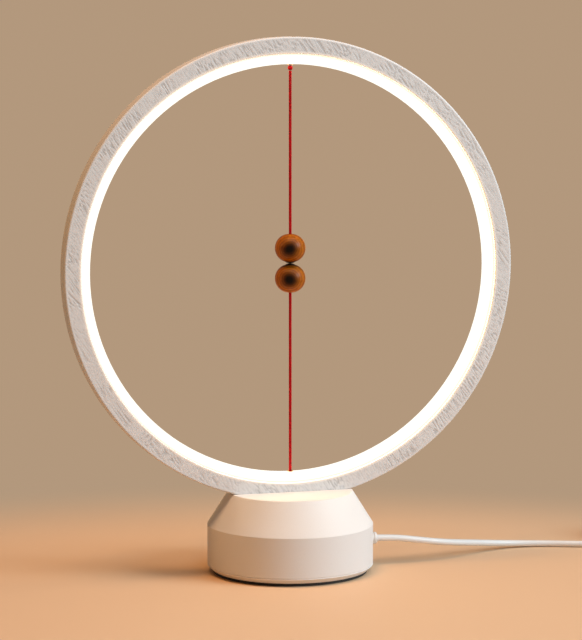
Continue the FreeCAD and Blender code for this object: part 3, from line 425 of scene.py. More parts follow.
def mix_colour(tree, share, first, second):
    """A colour between two others."""
    return add(tree, "ShaderNodeMix", {0: share, 6: first, 7: second}, data_type="RGBA").outputs[2]


def darker(tree, colour, share):
    """A colour times a number."""
    grey = add(tree, "ShaderNodeCombineColor", {0: share, 1: share, 2: share}).outputs[0]
    factors = {0: 1.0, 6: colour, 7: grey}
    return add(tree, "ShaderNodeMix", factors, data_type="RGBA", blend_type="MULTIPLY").outputs[2]


# %% [markdown]
# ### Moulded plastic and rubber
#
# A moulded skin is never quite even. The tool leaves a fine grain, the plastic flows in broad soft clouds,
# and handling polishes some places more than others. A piece whose mesh carries a relief, like the ring's
# face, gets a painted shade where the relief is deep.

# %% Moulded skin
skin, given, place = start_finish("Moulded_Skin", {
    "Colour": ("Color", (0.8, 0.8, 0.8, 1.0)),
    "Cloud Scale": ("Float", 28.0),
    "Cloud Strength": ("Float", 0.04),
    "Grain Scale": ("Float", 2500.0),
    "Speck Scale": ("Float", 1400.0),
    "Speck Strength": ("Float", 0.0),
    "Relief Shade": ("Float", 0.0),
    "Low Gloss": ("Float", 0.45),
    "High Gloss": ("Float", 0.35),
})
clouds = noise(skin, place, given["Cloud Scale"], 2.0)
grain = noise(skin, place, given["Grain Scale"], 4.0)
specks = blend_step(skin, noise(skin, place, given["Speck Scale"], 1.0), 0.70, 0.78)
relief = add(skin, "ShaderNodeAttribute", attribute_name="relief").outputs["Fac"]
cloud_share = times(skin, minus(skin, clouds, 0.5), given["Cloud Strength"])
grain_share = times(skin, minus(skin, grain, 0.5), given["Cloud Strength"])
speck_share = times(skin, specks, given["Speck Strength"])
# Painted shade: the colour is darker where the mesh's relief is deep.
painted_groove_shade = times(skin, relief, given["Relief Shade"])
lighter = plus(skin, plus(skin, 1.0, cloud_share), grain_share)
end_finish(
    skin,
    darker(skin, given["Colour"], minus(skin, lighter, plus(skin, speck_share, painted_groove_shade))),
    blend_step(skin, clouds, 0.35, 0.65, given["High Gloss"], given["Low Gloss"]),
    grain,
)

# %% [markdown]
# ### Metal
#
# Drawn, turned and plated metal shows fine lines along the way that the tool went. A noise that is
# squeezed across those lines and stretched along them gives both the lines and their gloss.

# %% Tooled metal
tooling, given, place = start_finish("Tooled_Metal", {
    "Colour": ("Color", (0.6, 0.6, 0.6, 1.0)),
    "Line Direction": ("Vector", (1.0, 1.0, 12.0)),
    "Line Scale": ("Float", 900.0),
    "Stain Scale": ("Float", 160.0),
    "Tarnish": ("Float", 0.15),
    "Low Gloss": ("Float", 0.38),
    "High Gloss": ("Float", 0.22),
})
lines = noise(tooling, place, given["Line Scale"], 3.0, given["Line Direction"])
stains = blend_step(tooling, noise(tooling, place, given["Stain Scale"], 3.0), 0.45, 0.75)
end_finish(
    tooling,
    darker(tooling, given["Colour"], minus(tooling, 1.0, times(tooling, stains, given["Tarnish"]))),
    blend_step(tooling, lines, 0.3, 0.7, given["High Gloss"], given["Low Gloss"]),
    lines,
)

# %% [markdown]
# ### Wood, cord and casting
#
# The balls are turned from a red-brown branch wood, with growth rings round a pith line that runs from front
# to back and straight bands on their sides. A near-black painted shade lies round the pith line, so each ball
# shows a dark middle at its front and behind, and a painted shade darkens both balls where they meet. The
# pattern measures each point's distance from the pith line. Both balls share it, because heights are measured
# from the place where they meet. The cords are dyed nylon, and the weight is a casting.

# %% Turned wood
MEETING, BALL_MIDDLE = 0.1490, 0.00725
# Heights from the meeting place over which the painted shade between the balls fades out.
CONTACT_SHADE_HEIGHTS = (0.0005, 0.0022)
# The pith line is turned 19 degrees so that the painted shade round it faces the front, a little to the left.
PITH_AND_SHADE_TURN = math.radians(-19)
wood, given, place = start_finish("Turned_Wood", {
    # The first colour is the near-black painted shade in the middle of each ball's front and back.
    "Painted Shade Colour": ("Color", (0.004, 0.001, 0.0005, 1.0)),
    "Early Wood": ("Color", (0.5, 0.2, 0.05, 1.0)),
    "Late Wood": ("Color", (0.2, 0.07, 0.02, 1.0)),
    "Painted Shade Radius": ("Float", 0.0012),
    "Painted Shade Fade": ("Float", 0.0050),
    "Meeting Shade": ("Float", 0.8),
    "Ring Spacing": ("Float", 0.0011),
    "Ring Wander": ("Float", 0.0014),
    "Pore Strength": ("Float", 0.3),
})
parts = split(wood, place)
off_meeting = calc(wood, "ABSOLUTE", minus(wood, parts["Z"], MEETING))
sideways = plus(
    wood,
    times(wood, parts["X"], math.cos(PITH_AND_SHADE_TURN)),
    times(wood, parts["Y"], math.sin(PITH_AND_SHADE_TURN)),
)
pith_distance = hypotenuse(wood, sideways, minus(wood, off_meeting, BALL_MIDDLE))
wander = noise(wood, place, 260.0, 2.0, (1.0, 0.35, 1.0))
from_pith = plus(wood, pith_distance, times(wood, minus(wood, wander, 0.5), given["Ring Wander"]))
wave = calc(wood, "SINE", divided(wood, times(wood, from_pith, 2 * math.pi), given["Ring Spacing"]))

# %% Its colour, pores and painted shade
flecks = noise(wood, place, 1500.0, 3.0, (1.0, 0.2, 1.0))
pores = blend_step(wood, noise(wood, place, 5200.0, 2.0, (1.0, 0.15, 1.0)), 0.57, 0.68)
tone = plus(wood, times(wood, blend_step(wood, wave, -0.4, 1.0), 0.45), times(wood, flecks, 0.5))
sapwood = mix_colour(wood, tone, given["Early Wood"], given["Late Wood"])
# Painted shade: near-black at the pith line, fading into the grain a few millimetres out.
painted_shade_end = plus(wood, given["Painted Shade Radius"], given["Painted Shade Fade"])
off_painted_shade = blend_step(wood, from_pith, given["Painted Shade Radius"], painted_shade_end)
wood_colour = mix_colour(wood, off_painted_shade, given["Painted Shade Colour"], sapwood)
pore_share = minus(wood, 1.0, times(wood, pores, given["Pore Strength"]))
# Painted shade where the two balls meet, darkest within half a millimetre of the meeting place.
near_meeting = blend_step(wood, off_meeting, *CONTACT_SHADE_HEIGHTS, 1.0, 0.0)
contact_shade = minus(wood, 1.0, times(wood, near_meeting, given["Meeting Shade"]))
end_finish(
    wood,
    darker(wood, wood_colour, times(wood, pore_share, contact_shade)),
    blend_step(wood, tone, 0.2, 0.8, 0.42, 0.52),
    minus(wood, times(wood, tone, 0.3), pores),
)

# %% Dyed fibre
fibre, given, place = start_finish("Dyed_Fibre", {
    "Colour": ("Color", (0.35, 0.01, 0.01, 1.0)),
    "Fibre Scale": ("Float", 9000.0),
    "Fade": ("Float", 0.25),
})
fibres = noise(fibre, place, given["Fibre Scale"], 2.0, (1.0, 1.0, 0.25))
uneven = noise(fibre, place, 220.0, 2.0)
off_middle = minus(fibre, times(fibre, plus(fibre, fibres, uneven), 0.5), 0.5)
faded = plus(fibre, 1.0, times(fibre, off_middle, times(fibre, given["Fade"], 2.0)))
end_finish(
    fibre,
    darker(fibre, given["Colour"], faded),
    blend_step(fibre, fibres, 0.3, 0.7, 0.55, 0.75),
    fibres,
)

# %% Rough casting
casting, given, place = start_finish("Rough_Casting", {
    "Colour": ("Color", (0.16, 0.16, 0.17, 1.0)),
    "Sand Scale": ("Float", 900.0),
    "Rust": ("Color", (0.12, 0.06, 0.03, 1.0)),
    "Rust Share": ("Float", 0.3),
})
sand = noise(casting, place, given["Sand Scale"], 4.0)
pits = blend_step(casting, noise(casting, place, 350.0, 2.0), 0.60, 0.72)
patches = blend_step(casting, noise(casting, place, 120.0, 3.0), 0.52, 0.72)
end_finish(
    casting,
    mix_colour(casting, times(casting, patches, given["Rust Share"]), given["Colour"], given["Rust"]),
    blend_step(casting, sand, 0.3, 0.7, 0.55, 0.8),
    minus(casting, sand, pits),
)
print("finishes:", [g.name for g in bpy.data.node_groups if g.bl_idname == "ShaderNodeTree"])

# %% [markdown]
# ### One material for each slot
#
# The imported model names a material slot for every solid. Two tables give the moulded and the metal
# slots their values, in the order that the two functions below take them, and a loop builds them. Wood,
# cord and casting are built one by one.

# %% Build a material
def build_material(name, finish, values, bump=0.0, **constants):
    """A material: a finish feeds the shader's colour, roughness and bump, and the rest is constant."""
    material = bpy.data.materials.new(name)
    material.use_nodes = True
    tree = material.node_tree
    tree.nodes.clear()
    surface = add(tree, "ShaderNodeOutputMaterial")
    shader = add(tree, "ShaderNodeBsdfPrincipled")
    tree.links.new(shader.outputs[0], surface.inputs[0])
    pattern = add(tree, "ShaderNodeGroup", node_tree=finish)
    for key, value in values.items():
        pattern.inputs[key].default_value = value
    tree.links.new(pattern.outputs["Colour"], shader.inputs["Base Color"])
    tree.links.new(pattern.outputs["Roughness"], shader.inputs["Roughness"])
    if bump:
        sockets = {"Strength": 1.0, "Distance": bump, "Height": pattern.outputs["Height"]}
        relief = add(tree, "ShaderNodeBump", sockets)
        tree.links.new(relief.outputs[0], shader.inputs["Normal"])
    for key, value in constants.items():
        shader.inputs[key.replace("_", " ")].default_value = value
    return material


# The last value, relief, is how much painted shade goes into the grooves of a relief.
def moulded(name, colour, low, high, clouds=0.05, grain=2500.0, specks=0.0, bump=0.00001, relief=0.0):
    """Plastic or rubber."""
    values = {"Colour": (*colour, 1.0), "Cloud Strength": clouds, "Grain Scale": grain}
    values.update({"Speck Strength": specks, "Relief Shade": relief, "Low Gloss": low, "High Gloss": high})
    return build_material(name, skin, values, bump)


def metal(name, colour, low, high, tarnish=0.15, lines=(1.0, 1.0, 12.0), scale=900.0, bump=0.000004):
    """Drawn, turned or plated metal."""
    values = {"Colour": (*colour, 1.0), "Line Direction": lines, "Line Scale": scale}
    values.update({"Tarnish": tarnish, "Low Gloss": low, "High Gloss": high})
    return build_material(name, tooling, values, bump, Metallic=1.0)


# %% The slots and their finishes
moulded_slots = {
    "white_shell": ((0.80, 0.775, 0.745), 0.58, 0.48, 0.05, 2600.0, 0.06, 0.000012),
    # The ring's face has a painted shade of 0.26 in its grooves.
    "ring_face": ((0.79, 0.775, 0.76), 0.5, 0.4, 0.04, 1500.0, 0.05, 0.000006, 0.26),
    "ring_white": ((0.74, 0.72, 0.70), 0.55, 0.45, 0.04, 1500.0, 0.05, 0.000005),
    "strip_white": ((0.86, 0.86, 0.84), 0.5, 0.4),
    "black_rubber": ((0.018, 0.018, 0.019), 0.85, 0.7, 0.3, 1800.0, 0.0, 0.00003),
    "black_nylon": ((0.035, 0.035, 0.038), 0.55, 0.42, 0.25, 1800.0, 0.0, 0.00002),
    "grey_acetal": ((0.42, 0.42, 0.41), 0.42, 0.32, 0.1, 1800.0),
    "red_button": ((0.45, 0.03, 0.025), 0.35, 0.25, 0.1),
    "board_green": ((0.012, 0.115, 0.045), 0.32, 0.22, 0.35, 700.0, 0.0, 0.000006),
    "chip_black": ((0.03, 0.03, 0.031), 0.6, 0.5, 0.3, 3500.0, 0.0, 0.00001),
    "wire_red": ((0.42, 0.02, 0.015), 0.42, 0.32, 0.1),
    "wire_grey": ((0.27, 0.27, 0.28), 0.42, 0.32, 0.1),
    "white_rubber": ((0.79, 0.77, 0.74), 0.5, 0.42, 0.05, 2000.0, 0.0, 0.00001),
    "white_lead": ((0.80, 0.78, 0.75), 0.42, 0.34, 0.06, 1500.0, 0.03, 0.000008),
    "tie_strap": ((0.03, 0.03, 0.032), 0.9, 0.75, 0.5, 4200.0, 0.0, 0.00006),
    "plug_white": ((0.79, 0.77, 0.74), 0.5, 0.4, 0.05, 2200.0, 0.03),
    "plug_tongue": ((0.80, 0.80, 0.79), 0.45, 0.35),
}
EVEN, ALONG_Y = (1.0, 1.0, 1.0), (12.0, 1.0, 12.0)
metal_slots = {
    "steel": ((0.60, 0.60, 0.61), 0.36, 0.24),
    "spring_steel": ((0.52, 0.52, 0.54), 0.32, 0.2, 0.1, EVEN, 2500.0),
    "brass_fitting": ((0.72, 0.50, 0.21), 0.34, 0.22, 0.25),
    "magnet_plating": ((0.045, 0.043, 0.045), 0.34, 0.26, 0.12, EVEN, 1600.0, 0.000002),
    "plug_nickel": ((0.68, 0.67, 0.65), 0.3, 0.2, 0.12, ALONG_Y),
    "gold_contact": ((0.90, 0.66, 0.24), 0.25, 0.16, 0.1, ALONG_Y),
}
looks = {name: moulded(name, *values) for name, values in moulded_slots.items()}
looks.update({name: metal(name, *values) for name, values in metal_slots.items()})
looks["cast_weight"] = build_material("cast_weight", casting, {}, 0.00012, Metallic=0.6)
cord_red = {"Colour": (0.44, 0.0, 0.003, 1.0)}
looks["red_cord"] = build_material("red_cord", fibre, cord_red, 0.00002, Specular_IOR_Level=0.15)
red_brown = {"Early Wood": (0.43, 0.120, 0.002, 1.0), "Late Wood": (0.21, 0.044, 0.001, 1.0)}
looks["ball_wood"] = build_material(
    "ball_wood", wood, red_brown, 0.00001, Specular_IOR_Level=0.08, Coat_Weight=0.16, Coat_Roughness=0.30,
)
print(len(looks), "materials")

# %% [markdown]
# ### The light
#
# The light sits behind a frosted white strip that bulges into the ring. Seen from the front it is white-hot
# along its middle and peach where it thins out at its rims. The edge of the ring's face beside it has a
# painted glow: a faint peach light of the face's own, standing in for the strip's light on it. Both changes
# are worked out from the distance to the ring's axis. A camera can't hold such a bright strip, so camera rays
# get its colours at a level that doesn't burn out, and all other rays get its true strength.

# %% Lit strip and LED
RING_CENTRE = 0.1460
FACE_INNER, FACE_OUTER = 0.1025, 0.1105
GLOW_STRENGTH = 5.0
STRIP_MIDDLE, STRIP_RIM = (1.25, 1.20, 1.08, 1.0), (1.06, 0.90, 0.68, 1.0)
RIM_WIDTH = 0.0010
# Painted glow: its colour and the band next to the strip where the ring's face gives light of its own.
PAINTED_GLOW_COLOUR = (0.26, 0.165, 0.085, 1.0)
PAINTED_GLOW_START, PAINTED_GLOW_END = FACE_INNER + 0.0001, FACE_INNER + 0.0016


def ring_distance(tree):
    """The distance from the ring's axis, for a pattern that runs round the ring."""
    parts = split(tree, add(tree, "ShaderNodeTexCoord").outputs["Object"])
    return hypotenuse(tree, parts["X"], minus(tree, parts["Z"], RING_CENTRE))


def lit_material(name, colour, roughness, glow, strength):
    """A pale plastic that gives light. Glow is the colour that it gives at full strength."""
    values = {"Colour": (*colour, 1.0), "Low Gloss": roughness, "High Gloss": roughness - 0.1}
    return build_material(name, skin, values, Emission_Color=(*glow, 1.0), Emission_Strength=strength)


looks["lit_chip"] = lit_material("lit_chip", (0.95, 0.80, 0.30), 0.3, (1.0, 0.80, 0.50), 3.0)
looks["lit_diffuser"] = lit_material(
    "lit_diffuser", (0.95, 0.92, 0.86), 0.5, (1.0, 0.74, 0.46), GLOW_STRENGTH,
)
tree = looks["lit_diffuser"].node_tree
shader = tree.nodes["Principled BSDF"]
towards_face = blend_step(tree, ring_distance(tree), FACE_INNER - RIM_WIDTH, FACE_INNER)
seen_colour = mix_colour(tree, towards_face, STRIP_MIDDLE, STRIP_RIM)
seen_light = add(tree, "ShaderNodeEmission", {"Color": seen_colour, "Strength": 1.0})
seen_first = add(tree, "ShaderNodeLightPath").outputs["Is Camera Ray"]
chosen = add(tree, "ShaderNodeMixShader", {0: seen_first, 1: shader.outputs[0], 2: seen_light.outputs[0]})
tree.links.new(chosen.outputs[0], tree.nodes["Material Output"].inputs[0])

# %% Painted glow on the edge of the ring's face
tree = looks["ring_face"].node_tree
shader = tree.nodes["Principled BSDF"]
# Painted glow: the face gives peach light at its inner edge, fading out over 1.5 mm.
painted_glow_share = blend_step(tree, ring_distance(tree), PAINTED_GLOW_START, PAINTED_GLOW_END, 1.0, 0.0)
painted_glow = mix_colour(tree, painted_glow_share, (0.0, 0.0, 0.0, 1.0), PAINTED_GLOW_COLOUR)
tree.links.new(painted_glow, shader.inputs["Emission Color"])
shader.inputs["Emission Strength"].default_value = 1.0

# %% Dress every solid
for name, node in nodes.items():
    if not node.material_slots:
        node.data.materials.append(looks[slot_of[name]])
    for slot in node.material_slots:
        slot.material = looks[slot_of[name]]
supply_cable.data.materials.append(looks["white_lead"])
settle(supply_cable, "base", "white_lead", "supply_lead", "lead_coil")

# %% [markdown]
# ## The red cords
#
# A thin cord like this is a round braid: half of its strands run to the left and half to the right,
# and each passes over one and under the next. A rule for the distance from the middle does that
# weaving: it rises and falls as a strand turns, and the two directions do it in opposite steps. The
# tree follows a NURBS line, so the same tree would braid a curved cord as well.

# %% The braid
braid, given = start_tree("Round_Braid", {
    "Strands": ("Int", 5),
    "Pitch": ("Float", 0.0050),
    "Strand Radius": ("Float", 0.00027),
    "Braid Radius": ("Float", 0.00041),
    "Weave Depth": ("Float", 0.00004),
    "Core Radius": ("Float", 0.00050),
    "Step": ("Float", 0.00016),
    "Start": ("Float", 0.0),
    "Material": ("Material", None),
})
sockets = {"Curve": given["Geometry"], "Length": given["Step"]}
line = add(braid, "GeometryNodeResampleCurve", sockets, mode="LENGTH").outputs[0]
strands = [drawn_wire(braid, line, given["Core Radius"], 10)]
for turn in (1.0, -1.0):
    sockets = {0: line, "Amount": given["Strands"]}
    copies = add(braid, "GeometryNodeDuplicateElements", sockets, domain="SPLINE")
    far = plus(braid, add(braid, "GeometryNodeSplineParameter").outputs["Length"], given["Start"])
    turned = times(braid, divided(braid, far, given["Pitch"]), 2 * math.pi)
    place_in_round = divided(braid, copies.outputs["Duplicate Index"], given["Strands"])
    angle = plus(braid, times(braid, turned, turn), times(braid, place_in_round, 2 * math.pi))
    weave = calc(braid, "COSINE", times(braid, turned, given["Strands"]))
    lift = times(braid, weave, times(braid, given["Weave Depth"], turn))
    reach = plus(braid, given["Braid Radius"], lift)
    sideways = add(braid, "GeometryNodeInputNormal").outputs[0]
    forwards = add(braid, "GeometryNodeInputTangent").outputs[0]
    upwards = arrow(braid, "CROSS_PRODUCT", forwards, sideways)
    out = arrow(
        braid, "ADD",
        lengthen(braid, sideways, times(braid, calc(braid, "COSINE", angle), reach)),
        lengthen(braid, upwards, times(braid, calc(braid, "SINE", angle), reach)),
    )
    moved = add(braid, "GeometryNodeSetPosition", {0: copies.outputs[0], "Offset": out})
    strands.append(drawn_wire(braid, moved.outputs[0], given["Strand Radius"], 6))
end_tree(braid, joined(braid, strands), given["Material"])

# %% Braid the cords
LOWER_PIVOT, KNEE, BALL_POLE = 0.05197, 0.093485, 0.1350
cord_ends = {
    "upper_cord_braid": (0.2404, 0.1524),
    "lower_cord_root": (0.0223, 0.0727),
    "lower_cord_middle": (0.0727, 0.1142),
    "lower_cord_top": (0.1142, 0.1454),
}


def braided_cord(name, low, high, start):
    """A straight braided cord between two heights on the lamp's axis, and the line that it follows."""
    heights = [low + (high - low) * k / 4 for k in range(5)]
    line = route_curve(name + "_line", [(0.0, 0.0, z) for z in heights], 6)
    mesh = run_tree(line, braid, {"Start": start, "Material": looks["red_cord"]})
    path = bpy.data.meshes.new_from_object(line)
    followed = [tuple(v.co) for v in path.vertices]
    bpy.data.objects.remove(line)
    piece = new_piece(name, mesh)
    return piece, followed


top, bottom = cord_ends["upper_cord_braid"]
piece, followed = braided_cord("upper_cord_braid", top, bottom, 0.0)
settle(piece, "upper_pendulum", "red_cord", "upper_cord")

# %% [markdown]
# The lower cord crosses three joints: at the eyelet, at its middle and at the ball. It is made of three
# straight stretches, one round each joint, which meet halfway between them. They carry on each other's braid,
# because each starts its pattern at its own height.

# %% The lower cord in three stretches
lower_stretches = [
    (
        "lower_cord_root", "pull_cord", "lower_cord_lower",
        LOWER_PIVOT - 0.0028, LOWER_PIVOT + 0.0032, ("pull_cord_tail", "lower_cord_lower_half"),
    ),
    (
        "lower_cord_middle", "lower_cord_lower", "lower_cord_upper",
        KNEE - 0.0060, KNEE + 0.0060, ("lower_cord_upper_half",),
    ),
    (
        "lower_cord_top", "lower_cord_upper", "lower_pendulum",
        BALL_POLE - 0.0050, BALL_POLE, ("lower_ball_cord",),
    ),
]
for name, before, after, bend_start, bend_end, replaced in lower_stretches:
    low, high = cord_ends[name]
    piece, followed = braided_cord(name, low, high, low)
    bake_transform(piece)
    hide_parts(*replaced)

# %% [markdown]
# ## The ring's face
#
# The front cover is a moulding with a fine planed grain on its face: short grooves a tenth of a millimetre
# deep, which all run the same way across the ring and come and go in patches. The cover is turned on the
# lathe helper with enough columns to carry them, and Geometry Nodes push them in. A noise that is stretched
# one way makes the grooves, and a slower noise makes the patches. The tree also keeps how deep each point
# lies, and the finish paints shade into the grooves with it.

# %% Turn the cover
COVER_BACK, COVER_FRONT = -0.0036, -0.0050
EDGE_ROUND, INNER_ROUND, SEAM = 0.0008, 0.0003, 0.00035
COVER_COLUMNS, FACE_ROWS = 2300, 20
outer_corner = (FACE_OUTER - EDGE_ROUND, COVER_FRONT + EDGE_ROUND)
inner_corner = (FACE_INNER + INNER_ROUND, COVER_FRONT + INNER_ROUND)
face_width = outer_corner[0] - inner_corner[0]
cover_outline = [(FACE_OUTER - SEAM, COVER_BACK), (FACE_OUTER, COVER_BACK - SEAM)]
cover_outline += arc(outer_corner, EDGE_ROUND, 0, -90, 4)
cover_outline += [(outer_corner[0] - face_width * k / FACE_ROWS, COVER_FRONT) for k in range(1, FACE_ROWS)]
cover_outline += arc(inner_corner, INNER_ROUND, -90, -180, 3)
cover_outline += [
    (FACE_INNER, -0.0030),
    (0.1035, -0.0030),
    (0.1035, COVER_BACK),
    (0.10735, COVER_BACK),
    (0.10735, -0.0022),
    (0.10835, -0.0022),
    (0.10835, COVER_BACK),
]


def set_on_axis(height, rows):
    """Turns what the lathe makes by these rows, and lifts it to a height."""
    return Matrix.Translation((0.0, 0.0, height)) @ Matrix(rows).to_4x4()


on_ring_axis = set_on_axis(RING_CENTRE, ((1, 0, 0), (0, 0, 1), (0, 1, 0)))
cover_blank = new_piece("cover_blank", lathe(cover_outline, COVER_COLUMNS, on_ring_axis))
print("cover:", len(cover_blank.data.polygons), "faces")

# %% Groove its face
grooving, given = start_tree("Planed_Grooves", {
    "Depth": ("Float", 0.00013),
    "Direction": ("Float", math.radians(-54)),
    "Groove Spacing": ("Float", 0.00075),
    "Groove Length": ("Float", 0.0048),
    "Patch Size": ("Float", 0.010),
    "Wander": ("Float", 0.0007),
    "Inner Edge": ("Float", FACE_INNER + 0.0004),
    "Outer Edge": ("Float", FACE_OUTER - 0.0009),
    "Edge Fade": ("Float", 0.0008),
    "Drift": ("Float", 0.9),
    "Face": ("Float", COVER_FRONT),
    "Centre": ("Float", RING_CENTRE),
    "Material": ("Material", None),
})
spot = add(grooving, "GeometryNodeInputPosition").outputs[0]
parts = split(grooving, spot)
side, height = parts["X"], minus(grooving, parts["Z"], given["Centre"])
radius = hypotenuse(grooving, side, height)
patch_noise = noise(grooving, spot, divided(grooving, 1.0, given["Patch Size"]), 2.0)
slow_noise = noise(grooving, spot, divided(grooving, 0.55, given["Patch Size"]), 1.0)
turned = plus(grooving, given["Direction"], times(grooving, minus(grooving, slow_noise, 0.5), given["Drift"]))
along = plus(
    grooving,
    times(grooving, side, calc(grooving, "COSINE", turned)),
    times(grooving, height, calc(grooving, "SINE", turned)),
)
across = minus(
    grooving,
    times(grooving, height, calc(grooving, "COSINE", given["Direction"])),
    times(grooving, side, calc(grooving, "SINE", given["Direction"])),
)
bend = times(grooving, minus(grooving, patch_noise, 0.5), given["Wander"])
stretched = vector_of(grooving, {
    0: divided(grooving, plus(grooving, across, bend), given["Groove Spacing"]),
    1: divided(grooving, along, given["Groove Length"]),
})
groove = blend_step(grooving, noise(grooving, stretched, 1.0, 1.0), 0.46, 0.62)
patch = blend_step(grooving, patch_noise, 0.36, 0.58, 0.30, 1.0)
inner_end = plus(grooving, given["Inner Edge"], given["Edge Fade"])
outer_start = minus(grooving, given["Outer Edge"], given["Edge Fade"])
from_inner = blend_step(grooving, radius, given["Inner Edge"], inner_end)
from_outer = blend_step(grooving, radius, outer_start, given["Outer Edge"], 1.0, 0.0)
on_face = calc(grooving, "COMPARE", parts["Y"], given["Face"], 0.00001)
inside = times(grooving, on_face, times(grooving, from_inner, from_outer))
relief = times(grooving, times(grooving, groove, patch), inside)
sockets = {"Geometry": given["Geometry"], "Name": "relief", "Value": relief}
kept = add(grooving, "GeometryNodeStoreNamedAttribute", sockets, data_type="FLOAT", domain="POINT")
pushed = vector_of(grooving, {1: times(grooving, relief, given["Depth"])})
grooved = add(grooving, "GeometryNodeSetPosition", {"Geometry": kept.outputs[0], "Offset": pushed})
end_tree(grooving, grooved.outputs[0], given["Material"])
front_cover = new_piece("front_cover", run_tree(cover_blank, grooving, {"Material": looks["ring_face"]}))
bpy.data.objects.remove(cover_blank)
settle(front_cover, "base", "ring_white", "ring_front_cover")

# %% [markdown]
# ## The lead's collar
#
# The lead leaves the base through a small rubber collar with two steps: a neck against the wall and a
# slightly wider lip at its mouth. A flange inside the wall holds it. One turned outline makes it all.

# %% Turn the collar
LEAD_HEIGHT = 0.0135
collar_outline = [
    (0.00165, 0.0354),
    (0.0036, 0.0354),
    (0.0036, 0.0369),
    (0.00245, 0.0369),
    (0.00245, 0.0422),
    *arc((0.00270, 0.04235), 0.00015, -90, 0, 3),
    *arc((0.00260, 0.04325), 0.00025, 0, 90, 4),
    *arc((0.00185, 0.04330), 0.00020, 90, 180, 3),
]
on_lead_axis = set_on_axis(LEAD_HEIGHT, ((0, 0, 1), (1, 0, 0), (0, 1, 0)))
lead_collar = new_piece("lead_collar", lathe(collar_outline, 64, on_lead_axis), looks["white_rubber"])
settle(lead_collar, "base", "white_rubber", "lead_boot")

# %% [markdown]
# ## The magnets
#
# Each ball holds a small round magnet in a pocket at its pole. Its face is ground to a shallow dome,
# so that the two magnets meet at one point and the balls can settle in line. Both are one outline,
# turned, and the upper one is the lower one upside down.

# %% Turn the magnets
magnet_outline = [
    (0.0, -0.00265),
    (0.0022, -0.00265),
    (0.0022, -0.00005),
    (0.00205, 0.00010),
    (0.0017, 0.00022),
    (0.00125, 0.00034),
    (0.0008, 0.00043),
    (0.0, 0.00048),
]
lower_place = Matrix.Translation((0.0, 0.0, MEETING - 0.0005))
upper_place = Matrix.Translation((0.0, 0.0, MEETING + 0.0005)) @ Matrix.Scale(-1.0, 4, (0.0, 0.0, 1.0))
for name, placing, body, solid in (
    ("lower_domed_magnet", lower_place, "lower_pendulum", "lower_magnet"),
    ("upper_domed_magnet", upper_place, "upper_pendulum", "upper_magnet"),
):
    domed = new_piece(name, lathe(magnet_outline, 40, placing), looks["magnet_plating"])
    settle(domed, body, "magnet_plating", solid)

# %% [markdown]
# ## The return spring
#
# The spring pulls the lever down when the cord lets go. It is a helix with a round wire.

# %% Wind the spring
winding, given = start_tree("Wound_Spring", {
    "Radius": ("Float", 0.00178),
    "Height": ("Float", 0.0109),
    "Turns": ("Float", 7.0),
    "Wire Radius": ("Float", 0.00025),
    "Foot": ("Vector", (-0.008, 0.0, 0.01345)),
    "Material": ("Material", None),
})
helix = add(winding, "GeometryNodeCurveSpiral", {
    "Resolution": 28,
    "Rotations": given["Turns"],
    "Start Radius": given["Radius"],
    "End Radius": given["Radius"],
    "Height": given["Height"],
})
coil = drawn_wire(winding, helix.outputs[0], given["Wire Radius"], 10)
end_tree(winding, shifted(winding, coil, given["Foot"]), given["Material"])
blank = carrier_of([(0.0, 0.0, 0.0)])
spring = new_piece("lever_spring", run_tree(blank, winding, {"Material": looks["spring_steel"]}))
bpy.data.objects.remove(blank)
settle(spring, "base", "spring_steel", "return_spring")
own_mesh(spring)

# %% [markdown]
# ## The screws
#
# Small pan-head screws hold the inside together. One tree makes a screw: a head with a cross recess, a
# core, and a thread that runs round it. It puts a copy at each seat and turns it to its hole. Each set
# of screws is one piece, like the group of solids that it stands for.

# %% Cut one screw and copy it
threading, given = start_tree("Pan_Head_Screws", {
    "Shank Radius": ("Float", 0.0010),
    "Length": ("Float", 0.0060),
    "Head Radius": ("Float", 0.0019),
    "Head Height": ("Float", 0.0009),
    "Core Share": ("Float", 0.82),
    "Rise Share": ("Float", 0.45),
    "Ridge Share": ("Float", 0.18),
    "Turn": ("Vector", (0.0, 0.0, 0.0)),
    "Material": ("Material", None),
})
head = add(threading, "GeometryNodeMeshCone", {
    "Vertices": 32,
    "Radius Top": times(threading, given["Head Radius"], 0.80),
    "Radius Bottom": given["Head Radius"],
    "Depth": given["Head Height"],
})
cut_head = add(threading, "GeometryNodeMeshBoolean", {"Mesh 1": head.outputs[0]}, operation="DIFFERENCE")
for long_side, short_side in ((1.10, 0.26), (0.26, 1.10)):
    bar_size = vector_of(threading, {
        0: times(threading, given["Head Radius"], long_side),
        1: times(threading, given["Head Radius"], short_side),
        2: given["Head Height"],
    })
    bar = add(threading, "GeometryNodeMeshCube", {"Size": bar_size}).outputs[0]
    bar_place = vector_of(threading, {2: given["Head Height"]})
    threading.links.new(shifted(threading, bar, bar_place), cut_head.inputs["Mesh 2"])
core_radius = times(threading, given["Shank Radius"], given["Core Share"])
sockets = {"Vertices": 20, "Radius": core_radius, "Depth": given["Length"]}
core = add(threading, "GeometryNodeMeshCylinder", sockets).outputs[0]
half_down = vector_of(threading, {2: times(threading, given["Length"], -0.5)})
thread_height = times(threading, given["Length"], 0.86)
thread_rise = times(threading, given["Shank Radius"], given["Rise Share"])
thread_line = add(threading, "GeometryNodeCurveSpiral", {
    "Resolution": 16,
    "Rotations": divided(threading, thread_height, thread_rise),
    "Start Radius": core_radius,
    "End Radius": core_radius,
    "Height": thread_height,
})
ridge_radius = times(threading, given["Shank Radius"], given["Ridge Share"])
thread = drawn_wire(threading, thread_line.outputs[0], ridge_radius, 4)
thread_foot = vector_of(threading, {2: times(threading, given["Length"], -0.97)})
screw = joined(threading, (
    cut_head.outputs[0],
    shifted(threading, core, half_down),
    shifted(threading, thread, thread_foot),
))
